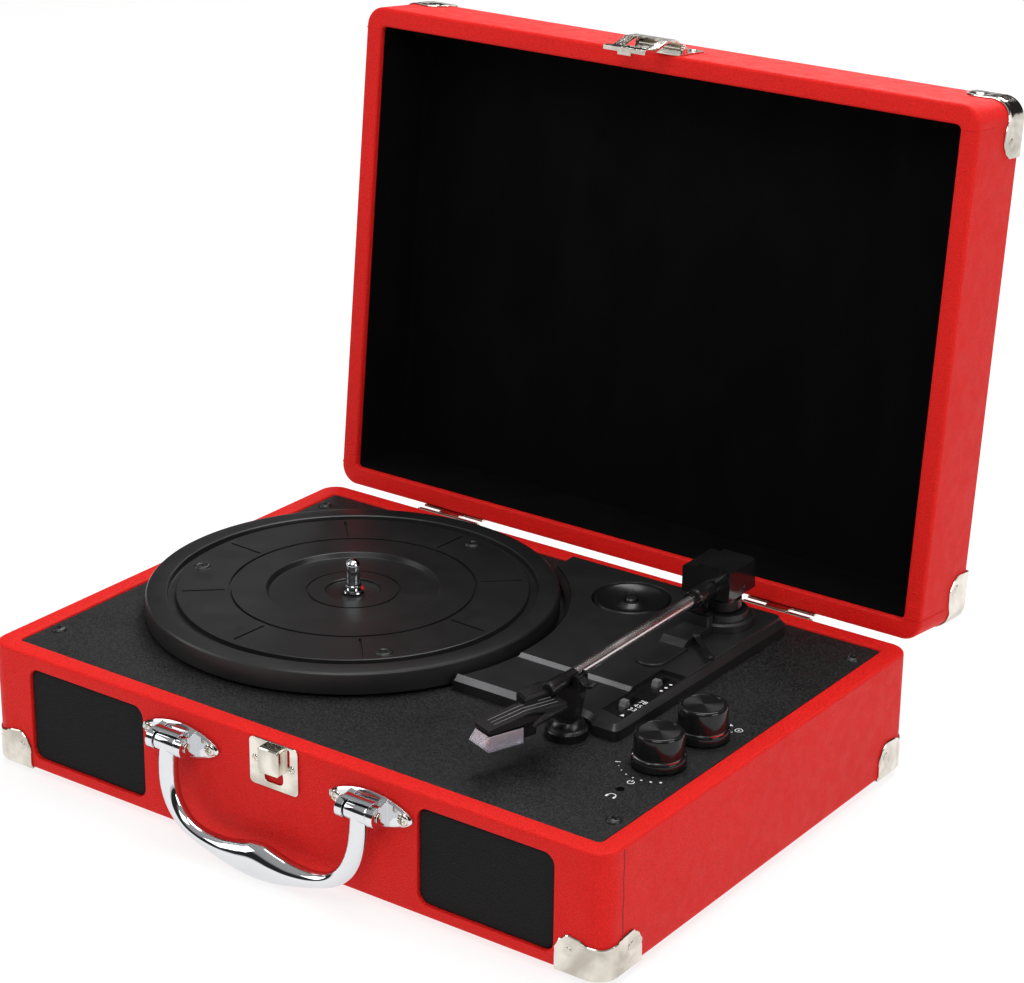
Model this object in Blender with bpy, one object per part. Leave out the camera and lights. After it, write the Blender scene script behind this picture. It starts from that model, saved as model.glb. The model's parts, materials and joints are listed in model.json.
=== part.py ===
"""Suitcase record player: a leatherette case with a hinged lid, a belt-driven turntable and a tonearm.

Built in a case frame in millimetres (x from the middle to the right, y from the front face to the
back, z from the underside of the case), then moved so that the box of the open player is centred
on the origin and stands on z = 0. Every moving piece has its object origin on its joint axis.
"""

import math

import bmesh
import bpy
from mathutils import Matrix, Vector

MM = 0.001

# Case
WIDTH = 355.0
DEPTH = 258.0
BASE_HEIGHT = 59.7
LID_HEIGHT = 44.3
CORNER_R = 10.0
RIM = 10.3
LEDGE_Z = 55.7
LEDGE = 4.0
FLOOR = 5.0
LID_RIM = 9.7
LID_TOP = 3.0
LID_OPEN = math.radians(96.0)
LID_GAP = 0.5
HINGE_Y = 261.0
HINGE_Z = 56.5
HINGE_X = 101.0
FOOT_H = 4.5
OPEN_BOX_MIDDLE_Y = 159.251

# Deck and turntable
DECK_TOP = 59.0
DECK_T = 3.0
PLATTER_X = -64.0
PLATTER_Y = 135.0
PLATTER_R = 101.4
PLATTER_TOP = 71.4
RING_R = 60.0
PULLEY_X = -130.0
PULLEY_Y = 179.0
PULLEY_R = 5.0

# Tonearm
BOARD_TOP = 67.7
BOARD_FRONT_TOP = 66.4
PIVOT_X = 97.8
PIVOT_Y = 215.0
ARM_Z = 88.5
ARM_YAW = math.radians(1.07)
TUBE_R = 2.7
HEAD_X = 105.6
HEAD_Y = 68.2
HEAD_TURN = math.radians(20.5)
REST_X = 98.4
REST_Y = 84.4
CLIP_X = 105.0
CLIP_Z = 89.4
CLIP_OPEN = math.radians(175.0)
CUE_Y = 184.0
CUE_Z = 71.9
LIFT_X = 89.5
LIFT_Y = 198.6

# Front hardware
SPEAKER_X = 115.3
SPEAKER_Z = 29.2
MOUNT_X = 55.0
HANDLE_Y = -8.6
HANDLE_Z = 46.0
HANDLE_TILT = math.radians(5.0)
LATCH_Y = -3.3
LATCH_Z = 66.7

# Controls
VOLUME_X = 147.0
VOLUME_Y = 85.0
MODE_X = 148.0
MODE_Y = 119.0
JACK_X = 146.5
JACK_Y = 55.5
ADAPTER_X = 48.2
ADAPTER_Y = 211.5
SOCKETS_X = -33.0

LID_PIVOT = (0.0, HINGE_Y, HINGE_Z)
LID_TURN = (-LID_OPEN, 0.0, 0.0)
SHIFT = Vector((0.0, -OPEN_BOX_MIDDLE_Y, FOOT_H))

LOOKS = {
    "leatherette": ((0.62, 0.03, 0.03), 0.0, 0.45),
    "black_plastic": ((0.03, 0.03, 0.032), 0.0, 0.5),
    "gloss_black": ((0.015, 0.015, 0.016), 0.0, 0.12),
    "chrome": ((0.8, 0.8, 0.82), 1.0, 0.08),
    "nickel": ((0.62, 0.57, 0.5), 1.0, 0.28),
    "steel": ((0.55, 0.55, 0.56), 1.0, 0.3),
    "rubber": ((0.02, 0.02, 0.02), 0.0, 0.8),
    "lining": ((0.012, 0.012, 0.013), 0.0, 0.95),
    "cloth": ((0.015, 0.015, 0.015), 0.0, 0.9),
    "clear": ((0.75, 0.7, 0.82), 0.0, 0.2),
    "green_board": ((0.03, 0.16, 0.07), 0.0, 0.5),
    "aluminium": ((0.75, 0.73, 0.72), 1.0, 0.2),
}


def clear_scene():
    for obj in list(bpy.data.objects):
        bpy.data.objects.remove(obj, do_unlink=True)


def look_of(node, look):
    colour, metallic, roughness = LOOKS[look]
    material = bpy.data.materials.new(node + "_" + look)
    material.use_nodes = True
    shader = material.node_tree.nodes["Principled BSDF"]
    shader.inputs["Base Color"].default_value = (*colour, 1.0)
    shader.inputs["Metallic"].default_value = metallic
    shader.inputs["Roughness"].default_value = roughness
    material.diffuse_color = (*colour, 1.0)
    return material


def solid(name, shape, look, origin=(0.0, 0.0, 0.0), turn=(0.0, 0.0, 0.0)):
    """One closed body. Its object origin is the given point, and turn swings it there into its rest pose."""
    verts, faces = shape
    pivot = Vector(origin)
    mesh = bpy.data.meshes.new(name)
    mesh.from_pydata([(Vector(v) - pivot) * MM for v in verts], [], faces)
    work = bmesh.new()
    work.from_mesh(mesh)
    bmesh.ops.remove_doubles(work, verts=work.verts, dist=1e-6)
    bmesh.ops.recalc_face_normals(work, faces=work.faces)
    work.to_mesh(mesh)
    work.free()
    obj = bpy.data.objects.new(name, mesh)
    obj.location = (pivot + SHIFT) * MM
    obj.rotation_euler = turn
    bpy.context.scene.collection.objects.link(obj)
    if look:
        mesh.materials.append(look_of(name, look))
    return obj


def tool(target, name, shape, operation="DIFFERENCE"):
    """A helper solid in the target's frame, taken from it or added to it by an exact Boolean."""
    pivot = Vector(target.location) / MM - SHIFT
    helper = solid(name, shape, None, pivot, target.rotation_euler)
    helper.hide_render = True
    helper.display_type = "WIRE"
    boolean = target.modifiers.new(name, "BOOLEAN")
    boolean.solver = "EXACT"
    boolean.operation = operation
    boolean.object = helper
    return helper


def loft(sections, closed=False):
    """Rings with the same number of points, joined in order and capped unless they close on themselves."""
    verts = [tuple(p) for ring in sections for p in ring]
    n = len(sections[0])
    faces = []
    count = len(sections)
    for k in range(count if closed else count - 1):
        a = k * n
        b = ((k + 1) % count) * n
        for i in range(n):
            j = (i + 1) % n
            faces.append((a + i, a + j, b + j, b + i))
    if not closed:
        faces.append(tuple(range(n - 1, -1, -1)))
        faces.append(tuple(range((count - 1) * n, count * n)))
    return verts, faces


def joined(*shapes):
    verts = []
    faces = []
    for more_verts, more_faces in shapes:
        start = len(verts)
        verts.extend(more_verts)
        faces.extend(tuple(start + i for i in face) for face in more_faces)
    return verts, faces


def turned(shape, matrix):
    verts, faces = shape
    return [tuple(matrix @ Vector(v)) for v in verts], faces


def lathe(profile, steps, centre, axis="z", closed=False, phase=0.0):
    """A profile of (radius, height) points turned about an axis through the centre."""
    verts = []
    rings = []
    for radius, height in profile:
        ring = []
        for k in range(1 if radius < 1e-6 else steps):
            angle = phase + 2.0 * math.pi * k / steps
            p = radius * math.cos(angle)
            q = radius * math.sin(angle)
            if axis == "z":
                point = (centre[0] + p, centre[1] + q, height)
            elif axis == "y":
                point = (centre[0] + p, height, centre[1] + q)
            else:
                point = (height, centre[0] + p, centre[1] + q)
            ring.append(len(verts))
            verts.append(point)
        rings.append(ring)
    faces = []
    pairs = list(zip(rings, rings[1:]))
    if closed:
        pairs.append((rings[-1], rings[0]))
    for a, b in pairs:
        for k in range(steps):
            m = (k + 1) % steps
            corner = [a[k % len(a)], a[m % len(a)], b[m % len(b)], b[k % len(b)]]
            face = tuple(dict.fromkeys(corner))
            if len(face) > 2:
                faces.append(face)
    if not closed and len(rings[0]) > 1:
        faces.append(tuple(rings[0]))
    if not closed and len(rings[-1]) > 1:
        faces.append(tuple(rings[-1]))
    return verts, faces


def rect(x0, x1, y0, y1, radius, n=5):
    """A rounded rectangle, anticlockwise, with n + 1 points to each corner."""
    points = []
    corners = (
        (x1 - radius, y1 - radius, 0.0),
        (x0 + radius, y1 - radius, 90.0),
        (x0 + radius, y0 + radius, 180.0),
        (x1 - radius, y0 + radius, 270.0),
    )
    for cx, cy, start in corners:
        for k in range(n + 1):
            angle = math.radians(start + 90.0 * k / n)
            points.append((cx + radius * math.cos(angle), cy + radius * math.sin(angle)))
    return points


def at_z(points, z):
    return [(x, y, z) for x, y in points]


def at_y(points, y):
    return [(x, y, z) for x, z in points]


def at_x(points, x):
    return [(x, y, z) for y, z in points]


def block(x0, x1, y0, y1, z0, z1):
    ring = [(x0, y0), (x1, y0), (x1, y1), (x0, y1)]
    return loft([at_z(ring, z0), at_z(ring, z1)])


def inset(points, distance):
    """The anticlockwise outline moved inward, each corner along its mitre."""
    result = []
    n = len(points)
    for i in range(n):
        before = Vector(points[i]) - Vector(points[i - 1])
        after = Vector(points[(i + 1) % n]) - Vector(points[i])
        a = Vector((-before.y, before.x)).normalized()
        b = Vector((-after.y, after.x)).normalized()
        mitre = a + b
        scale = distance / max(0.4, (1.0 + a.dot(b)))
        result.append((points[i][0] + mitre.x * scale, points[i][1] + mitre.y * scale))
    return result


def arc(cx, cy, radius, start, end, n):
    """Points on a circle, angles in degrees."""
    points = []
    for k in range(n + 1):
        angle = math.radians(start + (end - start) * k / n)
        points.append((cx + radius * math.cos(angle), cy + radius * math.sin(angle)))
    return points


def smooth(points, per):
    """Catmull-Rom points through a list of tuples of any length."""
    ends = [points[0]] + list(points) + [points[-1]]
    result = []
    for k in range(len(points) - 1):
        a, b, c, d = ends[k : k + 4]
        for j in range(per):
            t = j / per
            row = []
            for p, q, r, s in zip(a, b, c, d):
                value = 2 * q + (r - p) * t
                value += (2 * p - 5 * q + 4 * r - s) * t * t
                value += (3 * q - p - 3 * r + s) * t**3
                row.append(0.5 * value)
            result.append(tuple(row))
    result.append(tuple(points[-1]))
    return result


# ---------------------------------------------------------------- case


def case_ring(i, z):
    half = WIDTH / 2 - i
    return at_z(rect(-half, half, i, DEPTH - i, CORNER_R - i), z)


def well_ring(wall, radius, z):
    half = WIDTH / 2 - wall
    return at_z(rect(-half, half, wall, DEPTH - wall - 0.4, radius), z)


def make_case():
    top = BASE_HEIGHT
    rings = [
        case_ring(1.4, 0.0),
        case_ring(0.4, 0.4),
        case_ring(0.0, 1.4),
        case_ring(0.0, top - 1.4),
        case_ring(0.4, top - 0.4),
        case_ring(1.4, top),
        well_ring(RIM - 0.7, 2.9, top),
        well_ring(RIM, 2.2, top - 0.7),
        well_ring(RIM, 2.2, LEDGE_Z),
        well_ring(RIM + LEDGE, 2.0, LEDGE_Z),
        well_ring(RIM + LEDGE, 2.0, FLOOR),
    ]
    case = solid("case_base", loft(rings), "leatherette")
    for side, x in (("left", -SPEAKER_X), ("right", SPEAKER_X)):
        hole = rect(x - 35.8, x + 35.8, SPEAKER_Z - 23.3, SPEAKER_Z + 23.3, 5.3, 3)
        tool(case, "cut_speaker_" + side, loft([at_y(hole, -1.0), at_y(hole, RIM + LEDGE + 2.0)]))
    hole = rect(SOCKETS_X - 28.0, SOCKETS_X + 28.0, 20.0, 40.0, 2.0, 2)
    tool(case, "cut_sockets", loft([at_y(hole, DEPTH - 20.0), at_y(hole, DEPTH + 2.0)]))

    half = WIDTH / 2 - RIM - 0.3
    plate = rect(-half, half, RIM + 0.3, DEPTH - RIM - 0.7, 2.0)
    low = DECK_TOP - DECK_T
    deck = solid(
        "deck_panel",
        loft([at_z(plate, low), at_z(plate, DECK_TOP - 0.4), at_z(inset(plate, 0.4), DECK_TOP)]),
        "black_plastic",
    )
    holes = (
        (PLATTER_X, PLATTER_Y, 5.0),
        (PULLEY_X, PULLEY_Y, 7.0),
        (VOLUME_X, VOLUME_Y, 4.3),
        (MODE_X, MODE_Y, 4.3),
        (JACK_X, JACK_Y, 2.1),
    )
    shapes = [lathe([(r, low - 1), (r, DECK_TOP + 1)], 24, (x, y)) for x, y, r in holes]
    tool(deck, "cut_deck_holes", joined(*shapes))

    for side, x in (("left", -1.0), ("right", 1.0)):
        for end, y in (("front", 30.0), ("back", DEPTH - 30.0)):
            profile = [(0.0, -FOOT_H), (7.2, -FOOT_H), (8.0, -FOOT_H + 0.8), (8.6, -0.1), (0.0, -0.1)]
            solid("foot_" + end + "_" + side, lathe(profile, 20, (x * 148.0, y)), "rubber")

    for side, x in (("left", -SPEAKER_X), ("right", SPEAKER_X)):
        outline = rect(x - 35.4, x + 35.4, SPEAKER_Z - 22.9, SPEAKER_Z + 22.9, 5.0, 3)
        rings = [at_y(inset(outline, 0.8), 0.9), at_y(outline, 1.5), at_y(outline, 4.0)]
        solid("speaker_grille_" + side, loft(rings), "cloth")
        y = RIM + LEDGE + 0.3
        profile = [
            (0.0, y + 10.0),
            (7.0, y + 10.0),
            (18.5, y + 1.0),
            (20.0, y),
            (22.5, y),
            (22.5, y + 2.0),
            (20.0, y + 3.0),
            (13.5, y + 13.0),
            (15.5, y + 13.0),
            (15.5, y + 24.0),
            (0.0, y + 24.0),
        ]
        solid("speaker_" + side, lathe(profile, 24, (x, SPEAKER_Z), "y"), "black_plastic")


def corner_guard(name, sx, sy, look, mirror_z=None, origin=(0.0, 0.0, 0.0), turn=(0.0, 0.0, 0.0)):
    """A pressed corner: a wall that wraps the rounded edge, with a low middle between two tabs, and a flange."""
    gap = 0.12
    thick = 0.75
    along_x = 15.0
    along_y = 17.0
    cx = WIDTH / 2 - CORNER_R
    cy = CORNER_R
    heights = ((0.0, 11.0), (0.06, 15.8), (0.14, 17.8), (0.24, 17.2), (0.36, 15.4), (0.5, 14.8))

    def height(t):
        t = min(t, 1.0 - t)
        for (t0, h0), (t1, h1) in zip(heights, heights[1:]):
            if t <= t1:
                return h0 + (h1 - h0) * (t - t0) / (t1 - t0)
        return heights[-1][1]

    def path(offset):
        r = CORNER_R + offset
        points = [(cx - along_x * k / 6.0, cy - r) for k in range(6, 0, -1)]
        points += arc(cx, cy, r, 270.0, 360.0, 6)
        points += [(cx + r, cy + along_y * k / 6.0) for k in range(1, 7)]
        return points

    inner = path(gap)
    outer = path(gap + thick)
    flange = path(-9.0)
    n = len(inner)
    rows = [[], [], [], [], [], [], []]
    for i in range(n):
        h = height(i / (n - 1))
        ix, iy = inner[i]
        ox, oy = outer[i]
        fx, fy = flange[i]
        mx, my = (ix + ox) / 2, (iy + oy) / 2
        rows[0].append((fx, fy, -gap))
        rows[1].append((ix, iy, -gap))
        rows[2].append((ix, iy, h - 0.3))
        rows[3].append((mx, my, h))
        rows[4].append((ox, oy, h - 0.4))
        rows[5].append((ox, oy, 0.3 - gap))
        rows[6].append((mx, my, -gap - thick))
    rows.append([(fx, fy, -gap - thick) for fx, fy in flange])
    verts = [point for row in rows for point in row]
    faces = []
    count = len(rows)
    for k in range(count):
        a = k * n
        b = ((k + 1) % count) * n
        for i in range(n - 1):
            faces.append((a + i, a + i + 1, b + i + 1, b + i))
    faces.append(tuple(k * n for k in range(count)))
    faces.append(tuple(k * n + n - 1 for k in range(count)))
    final = []
    for x, y, z in verts:
        y = y if sy < 0 else DEPTH - y
        z = z if mirror_z is None else mirror_z - z
        final.append((x * sx, y, z))
    return solid(name, (final, faces), look, origin, turn)


def make_corners():
    for side, sx in (("left", -1), ("right", 1)):
        for end, sy in (("front", -1), ("back", 1)):
            corner_guard("base_corner_" + end + "_" + side, sx, sy, "nickel")
            corner_guard(
                "lid_corner_" + end + "_" + side,
                sx,
                sy,
                "nickel",
                BASE_HEIGHT + LID_GAP + LID_HEIGHT,
                LID_PIVOT,
                LID_TURN,
            )


def make_sockets():
    outline = rect(SOCKETS_X - 33.0, SOCKETS_X + 33.0, 16.0, 44.0, 3.0, 3)
    rings = [at_y(outline, DEPTH + 0.1), at_y(outline, DEPTH + 1.2), at_y(inset(outline, 0.4), DEPTH + 1.6)]
    plate = solid("rear_jack_plate", loft(rings), "black_plastic")
    for k, x in enumerate((SOCKETS_X + 10.0, SOCKETS_X + 22.0)):
        profile = [
            (0.0, DEPTH - 12.0),
            (4.6, DEPTH - 12.0),
            (4.6, DEPTH + 3.0),
            (4.1, DEPTH + 3.4),
            (4.1, DEPTH + 9.0),
            (3.4, DEPTH + 9.0),
            (3.4, DEPTH + 4.0),
            (0.0, DEPTH + 4.0),
        ]
        tool(plate, "add_line_out_%d" % k, lathe(profile, 16, (x, 30.0), "y"), "UNION")
    hole = lathe([(4.7, DEPTH - 1.0), (4.7, DEPTH + 3.0)], 20, (SOCKETS_X - 18.0, 30.0), "y")
    tool(plate, "cut_inlet", hole)
    profile = [
        (0.0, DEPTH - 12.0),
        (4.4, DEPTH - 12.0),
        (4.4, DEPTH + 2.4),
        (3.0, DEPTH + 2.8),
        (3.0, DEPTH - 6.0),
        (1.0, DEPTH - 6.0),
        (1.0, DEPTH + 1.5),
        (0.0, DEPTH + 1.5),
    ]
    solid("power_inlet", lathe(profile, 16, (SOCKETS_X - 18.0, 30.0), "y"), "black_plastic")


# ---------------------------------------------------------------- lid and its hardware


def make_lid():
    low = BASE_HEIGHT + LID_GAP
    high = low + LID_HEIGHT

    def inner(i, radius, z):
        half = WIDTH / 2 - i
        return at_z(rect(-half, half, i, DEPTH - i, radius), z)

    rings = [
        inner(LID_RIM, 3.0, high - LID_TOP),
        inner(LID_RIM, 3.0, low + 0.7),
        inner(LID_RIM - 0.7, 3.6, low),
        case_ring(1.4, low),
        case_ring(0.4, low + 0.4),
        case_ring(0.0, low + 1.4),
        case_ring(0.0, high - 2.2),
        case_ring(0.6, high - 0.7),
        case_ring(2.2, high),
    ]
    solid("lid_shell", loft(rings), "leatherette", LID_PIVOT, LID_TURN)

    gap = 0.15
    thick = 0.6
    rings = [
        inner(LID_RIM + gap, 2.9, low + 3.0),
        inner(LID_RIM + gap, 2.9, high - LID_TOP - gap),
        inner(LID_RIM + gap + thick, 2.5, high - LID_TOP - gap - thick),
        inner(LID_RIM + gap + thick, 2.5, low + 3.0),
    ]
    n = len(rings[0])
    shell = [tuple(p) for ring in rings for p in ring]
    faces = []
    for a, b in ((0, 1), (2, 3), (3, 0)):
        for i in range(n):
            j = (i + 1) % n
            faces.append((a * n + i, a * n + j, b * n + j, b * n + i))
    faces.append(tuple(range(n, 2 * n)))
    faces.append(tuple(range(2 * n, 3 * n)))
    solid("lid_lining", (shell, faces), "lining", LID_PIVOT, LID_TURN)


def barrel(x0, x1, hole):
    ring = [(2.2, x0), (2.2, x1), (hole, x1), (hole, x0)]
    return lathe(ring, 16, (HINGE_Y, HINGE_Z), "x", True)


def make_hinges():
    for side, cx in (("left", -HINGE_X), ("right", HINGE_X)):
        back = DEPTH + 0.1
        plate = block(cx - 19.0, cx + 19.0, back, back + 1.0, 40.0, HINGE_Z - 3.4)
        leaf = solid("hinge_base_leaf_" + side, plate, "nickel")
        for k, (a, b) in enumerate(((-19.0, -6.6), (6.6, 19.0))):
            web = block(cx + a, cx + b, back, back + 1.0, HINGE_Z - 4.0, HINGE_Z)
            tool(leaf, "add_base_web_%s_%d" % (side, k), web, "UNION")
            tool(leaf, "add_base_barrel_%s_%d" % (side, k), barrel(cx + a, cx + b, 1.15), "UNION")
        plate = block(cx - 19.0, cx + 19.0, back, back + 1.0, HINGE_Z + 3.8, HINGE_Z + 20.0)
        leaf = solid("hinge_lid_leaf_" + side, plate, "nickel", LID_PIVOT, LID_TURN)
        web = block(cx - 6.3, cx + 6.3, back, back + 1.0, HINGE_Z, HINGE_Z + 4.4)
        tool(leaf, "add_lid_web_" + side, web, "UNION")
        tool(leaf, "add_lid_barrel_" + side, barrel(cx - 6.3, cx + 6.3, 1.15), "UNION")
        for helper, turn in (("cut_pin_base_", 0), ("cut_pin_lid_", 1)):
            target = bpy.data.objects[("hinge_base_leaf_", "hinge_lid_leaf_")[turn] + side]
            bore = lathe([(1.15, cx - 21.0), (1.15, cx + 21.0)], 16, (HINGE_Y, HINGE_Z), "x")
            tool(target, helper + side, bore)
        profile = [
            (0.0, cx - 20.2),
            (1.6, cx - 20.2),
            (1.6, cx - 19.3),
            (0.9, cx - 19.3),
            (0.9, cx + 19.3),
            (1.6, cx + 19.3),
            (1.6, cx + 20.2),
            (0.0, cx + 20.2),
        ]
        solid("hinge_pin_" + side, lathe(profile, 14, (HINGE_Y, HINGE_Z), "x"), "nickel")


def make_latch():
    # keeper on the case
    outline = rect(-13.9, 13.9, 36.2, 59.2, 2.4, 3)
    keeper = solid("latch_keeper", loft([at_y(outline, -0.1), at_y(outline, -0.9)]), "nickel")
    tool(keeper, "add_keeper_box", block(-6.2, 6.2, -5.2, -0.4, 44.6, 57.6), "UNION")
    tool(keeper, "cut_keeper_box", block(-5.2, 5.2, -4.3, -1.0, 43.0, 59.0))
    holes = [lathe([(1.1, -2.0), (1.1, 1.0)], 12, (x, 49.0), "y") for x in (-10.4, 10.4)]
    tool(keeper, "cut_keeper_holes", joined(*holes))

    # plate on the lid, with the hasp's pin between two ears
    low = BASE_HEIGHT + LID_GAP
    outline = rect(-14.2, 14.2, low + 0.8, low + 25.0, 2.4, 3)
    plate = solid(
        "latch_plate",
        loft([at_y(outline, -0.1), at_y(outline, -0.9)]),
        "nickel",
        LID_PIVOT,
        LID_TURN,
    )
    for k, x in enumerate((-13.2, 13.2)):
        ear = [(-0.5, LATCH_Z - 2.4), (-0.5, LATCH_Z + 3.4)]
        ear += arc(LATCH_Y, LATCH_Z, 1.9, 70.0, 290.0, 8)
        shape = loft([at_x(ear, x - 0.7), at_x(ear, x + 0.7)])
        tool(plate, "add_latch_ear_%d" % k, shape, "UNION")
    pin = lathe([(0.8, -13.4), (0.8, 13.4)], 12, (LATCH_Y, LATCH_Z), "x")
    tool(plate, "add_latch_pin", pin, "UNION")

    # the hasp: a sheet bent outward over the keeper's box, with a window below its hood
    side = [
        (-2.2, 33.6),
        (-2.8, 35.4),
        (-2.8, 43.0),
        (-6.5, 53.0),
        (-6.5, 61.6),
        (-3.4, 65.4),
        (-4.4, 67.2),
        (-7.6, 62.2),
        (-7.6, 52.6),
        (-3.9, 42.6),
        (-4.6, 35.0),
        (-4.2, 33.6),
    ]
    matrix = Matrix.Translation(Vector(LID_PIVOT)) @ Matrix.Rotation(-LID_OPEN, 4, "X")
    matrix = matrix @ Matrix.Translation(-Vector(LID_PIVOT))
    rest = matrix @ Vector((0.0, LATCH_Y, LATCH_Z))
    sheet = turned(loft([at_x(side, -12.0), at_x(side, 12.0)]), matrix)
    lever = solid("latch_lever", sheet, "nickel", rest)
    knuckle = lathe([(1.75, -12.0), (1.75, 12.0)], 14, (LATCH_Y, LATCH_Z), "x")
    tool(lever, "add_latch_knuckle", turned(knuckle, matrix), "UNION")
    window = rect(-6.9, 6.9, 43.6, 55.6, 1.2, 3)
    tool(lever, "cut_latch_window", turned(loft([at_y(window, -12.0), at_y(window, 0.0)]), matrix))
    grip = block(-3.8, 3.8, -3.4, -0.7, 33.8, 35.8)
    tool(lever, "add_latch_grip", turned(grip, matrix), "UNION")
    bore = lathe([(1.1, -14.0), (1.1, 14.0)], 12, (LATCH_Y, LATCH_Z), "x")
    tool(lever, "cut_latch_bore", turned(bore, matrix))


# ---------------------------------------------------------------- handle


def make_handle():
    for side, cx in (("left", -MOUNT_X), ("right", MOUNT_X)):
        outline = []
        for k in range(28):
            angle = 2.0 * math.pi * k / 28
            c = math.cos(angle)
            s = math.sin(angle)
            outline.append((cx + 23.2 * c, HANDLE_Z - 0.8 + 8.1 * s * (1.0 - 0.28 * c * c)))
        rings = [at_y(outline, -0.1), at_y(outline, -1.5), at_y(inset(outline, 1.0), -2.3)]
        mount = solid("handle_mount_" + side, loft(rings), "chrome")
        for k, x in enumerate((-8.4, 8.4)):
            ear = [(-1.0, HANDLE_Z - 6.0), (-1.0, HANDLE_Z + 6.0)]
            ear += arc(HANDLE_Y, HANDLE_Z, 5.0, 60.0, 300.0, 10)
            a = cx + x - 1.9
            b = cx + x + 1.9
            tool(mount, "add_ear_%s_%d" % (side, k), loft([at_x(ear, a), at_x(ear, b)]), "UNION")
        hood = arc(HANDLE_Y, HANDLE_Z, 6.6, 12.0, 115.0, 8) + arc(HANDLE_Y, HANDLE_Z, 5.2, 115.0, 12.0, 8)
        tool(mount, "add_hood_" + side, loft([at_x(hood, cx - 8.0), at_x(hood, cx + 8.0)]), "UNION")
        pin = lathe([(1.6, cx - 8.0), (1.6, cx + 8.0)], 14, (HANDLE_Y, HANDLE_Z), "x")
        tool(mount, "add_handle_pin_" + side, pin, "UNION")

    # centre line of the bail as (x, reach from the axis, width, depth)
    half = [
        (55.0, 0.0, 8.8, 8.6),
        (55.2, 10.0, 9.2, 8.8),
        (53.8, 20.0, 9.0, 8.8),
        (49.8, 28.8, 8.2, 8.4),
        (42.8, 35.6, 7.4, 8.2),
        (33.0, 39.2, 7.4, 8.8),
        (21.0, 41.0, 10.4, 10.4),
        (10.0, 41.2, 14.6, 12.0),
        (0.0, 40.6, 17.2, 12.8),
    ]
    rows = [(-x, s, w, d) for x, s, w, d in half] + half[-2::-1]
    rows = smooth(rows, 2)
    sections = []
    for k, (x, s, w, d) in enumerate(rows):
        before = rows[max(k - 1, 0)]
        after = rows[min(k + 1, len(rows) - 1)]
        run = Vector((after[0] - before[0], after[1] - before[1])).normalized()
        across = Vector((-run.y, run.x))
        ring = []
        for j in range(10):
            angle = 2.0 * math.pi * j / 10
            u = 0.5 * w * math.cos(angle)
            v = 0.5 * d * math.sin(angle)
            ring.append((x + across.x * u, HANDLE_Y + v, HANDLE_Z - (s + across.y * u)))
        sections.append(ring)
    tilt = (-HANDLE_TILT, 0.0, 0.0)
    handle = solid("handle", loft(sections), "chrome", (0.0, HANDLE_Y, HANDLE_Z), tilt)
    for side, cx in (("left", -MOUNT_X), ("right", MOUNT_X)):
        profile = [(4.0, cx - 6.1), (4.6, cx - 5.5), (4.6, cx + 5.5), (4.0, cx + 6.1)]
        eye = lathe(profile, 18, (HANDLE_Y, HANDLE_Z), "x")
        tool(handle, "add_eye_" + side, eye, "UNION")
        bore = lathe([(1.95, cx - 8.0), (1.95, cx + 8.0)], 14, (HANDLE_Y, HANDLE_Z), "x")
        tool(handle, "cut_eye_" + side, bore)


# ---------------------------------------------------------------- turntable


def make_turntable():
    top = PLATTER_TOP
    profile = [
        (4.2, 60.6),
        (9.0, 60.6),
        (9.0, 65.4),
        (RING_R - 3.0, 65.4),
        (RING_R - 3.0, 61.0),
        (RING_R, 61.0),
        (RING_R, 67.2),
        (98.0, 67.2),
        (99.0, 60.8),
        (PLATTER_R - 0.4, 60.8),
        (PLATTER_R, top - 1.2),
        (PLATTER_R - 1.4, top),
        (91.5, top),
        (90.6, top - 1.3),
        (86.8, top - 1.3),
        (86.0, top - 0.2),
        (43.4, top - 0.2),
        (42.0, top - 1.9),
        (13.6, top - 1.9),
        (12.8, top - 3.6),
        (4.2, top - 3.6),
    ]
    centre = (PLATTER_X, PLATTER_Y)
    origin = (PLATTER_X, PLATTER_Y, 62.0)
    solid("platter", lathe(profile, 56, centre, "z", True), "black_plastic", origin)

    profile = [
        (0.0, 48.0),
        (7.5, 48.0),
        (7.5, 55.7),
        (3.7, 55.7),
        (3.7, top - 3.4),
        (3.5, top - 3.1),
        (3.5, top - 2.9),
        (5.6, top - 2.9),
        (5.6, top - 2.1),
        (3.5, top - 2.1),
        (3.5, top + 10.8),
        (2.7, top + 12.4),
        (1.3, top + 13.3),
        (0.0, top + 13.5),
    ]
    solid("spindle", lathe(profile, 20, centre), "chrome")

    profile = [
        (0.0, 24.0),
        (13.0, 24.0),
        (16.5, 26.0),
        (16.5, 53.0),
        (15.5, 54.5),
        (5.0, 54.5),
        (5.0, 56.0),
        (1.0, 56.0),
        (1.0, 66.4),
        (0.0, 66.4),
    ]
    spot = (PULLEY_X, PULLEY_Y)
    solid("motor", lathe(profile, 24, spot), "steel")
    profile = [
        (1.25, 60.4),
        (6.2, 60.4),
        (6.2, 61.4),
        (PULLEY_R, 61.8),
        (PULLEY_R, 65.4),
        (6.2, 65.8),
        (6.2, 66.6),
        (1.25, 66.6),
    ]
    origin = (PULLEY_X, PULLEY_Y, 63.0)
    solid("motor_pulley", lathe(profile, 20, spot, "z", True), "aluminium", origin)

    run = Vector((PULLEY_X - PLATTER_X, PULLEY_Y - PLATTER_Y))
    heading = math.degrees(math.atan2(run.y, run.x))
    rings = []
    for offset, z in ((0.3, 62.0), (1.1, 62.0), (1.1, 65.2), (0.3, 65.2)):
        big = RING_R + offset
        small = PULLEY_R + offset
        lean = math.degrees(math.acos((big - small) / run.length))
        ring = arc(PLATTER_X, PLATTER_Y, big, heading + lean, heading + 360.0 - lean, 40)
        ring += arc(PULLEY_X, PULLEY_Y, small, heading - lean, heading + lean, 8)
        rings.append(at_z(ring, z))
    solid("drive_belt", loft(rings, True), "rubber")


# ---------------------------------------------------------------- controls


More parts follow.
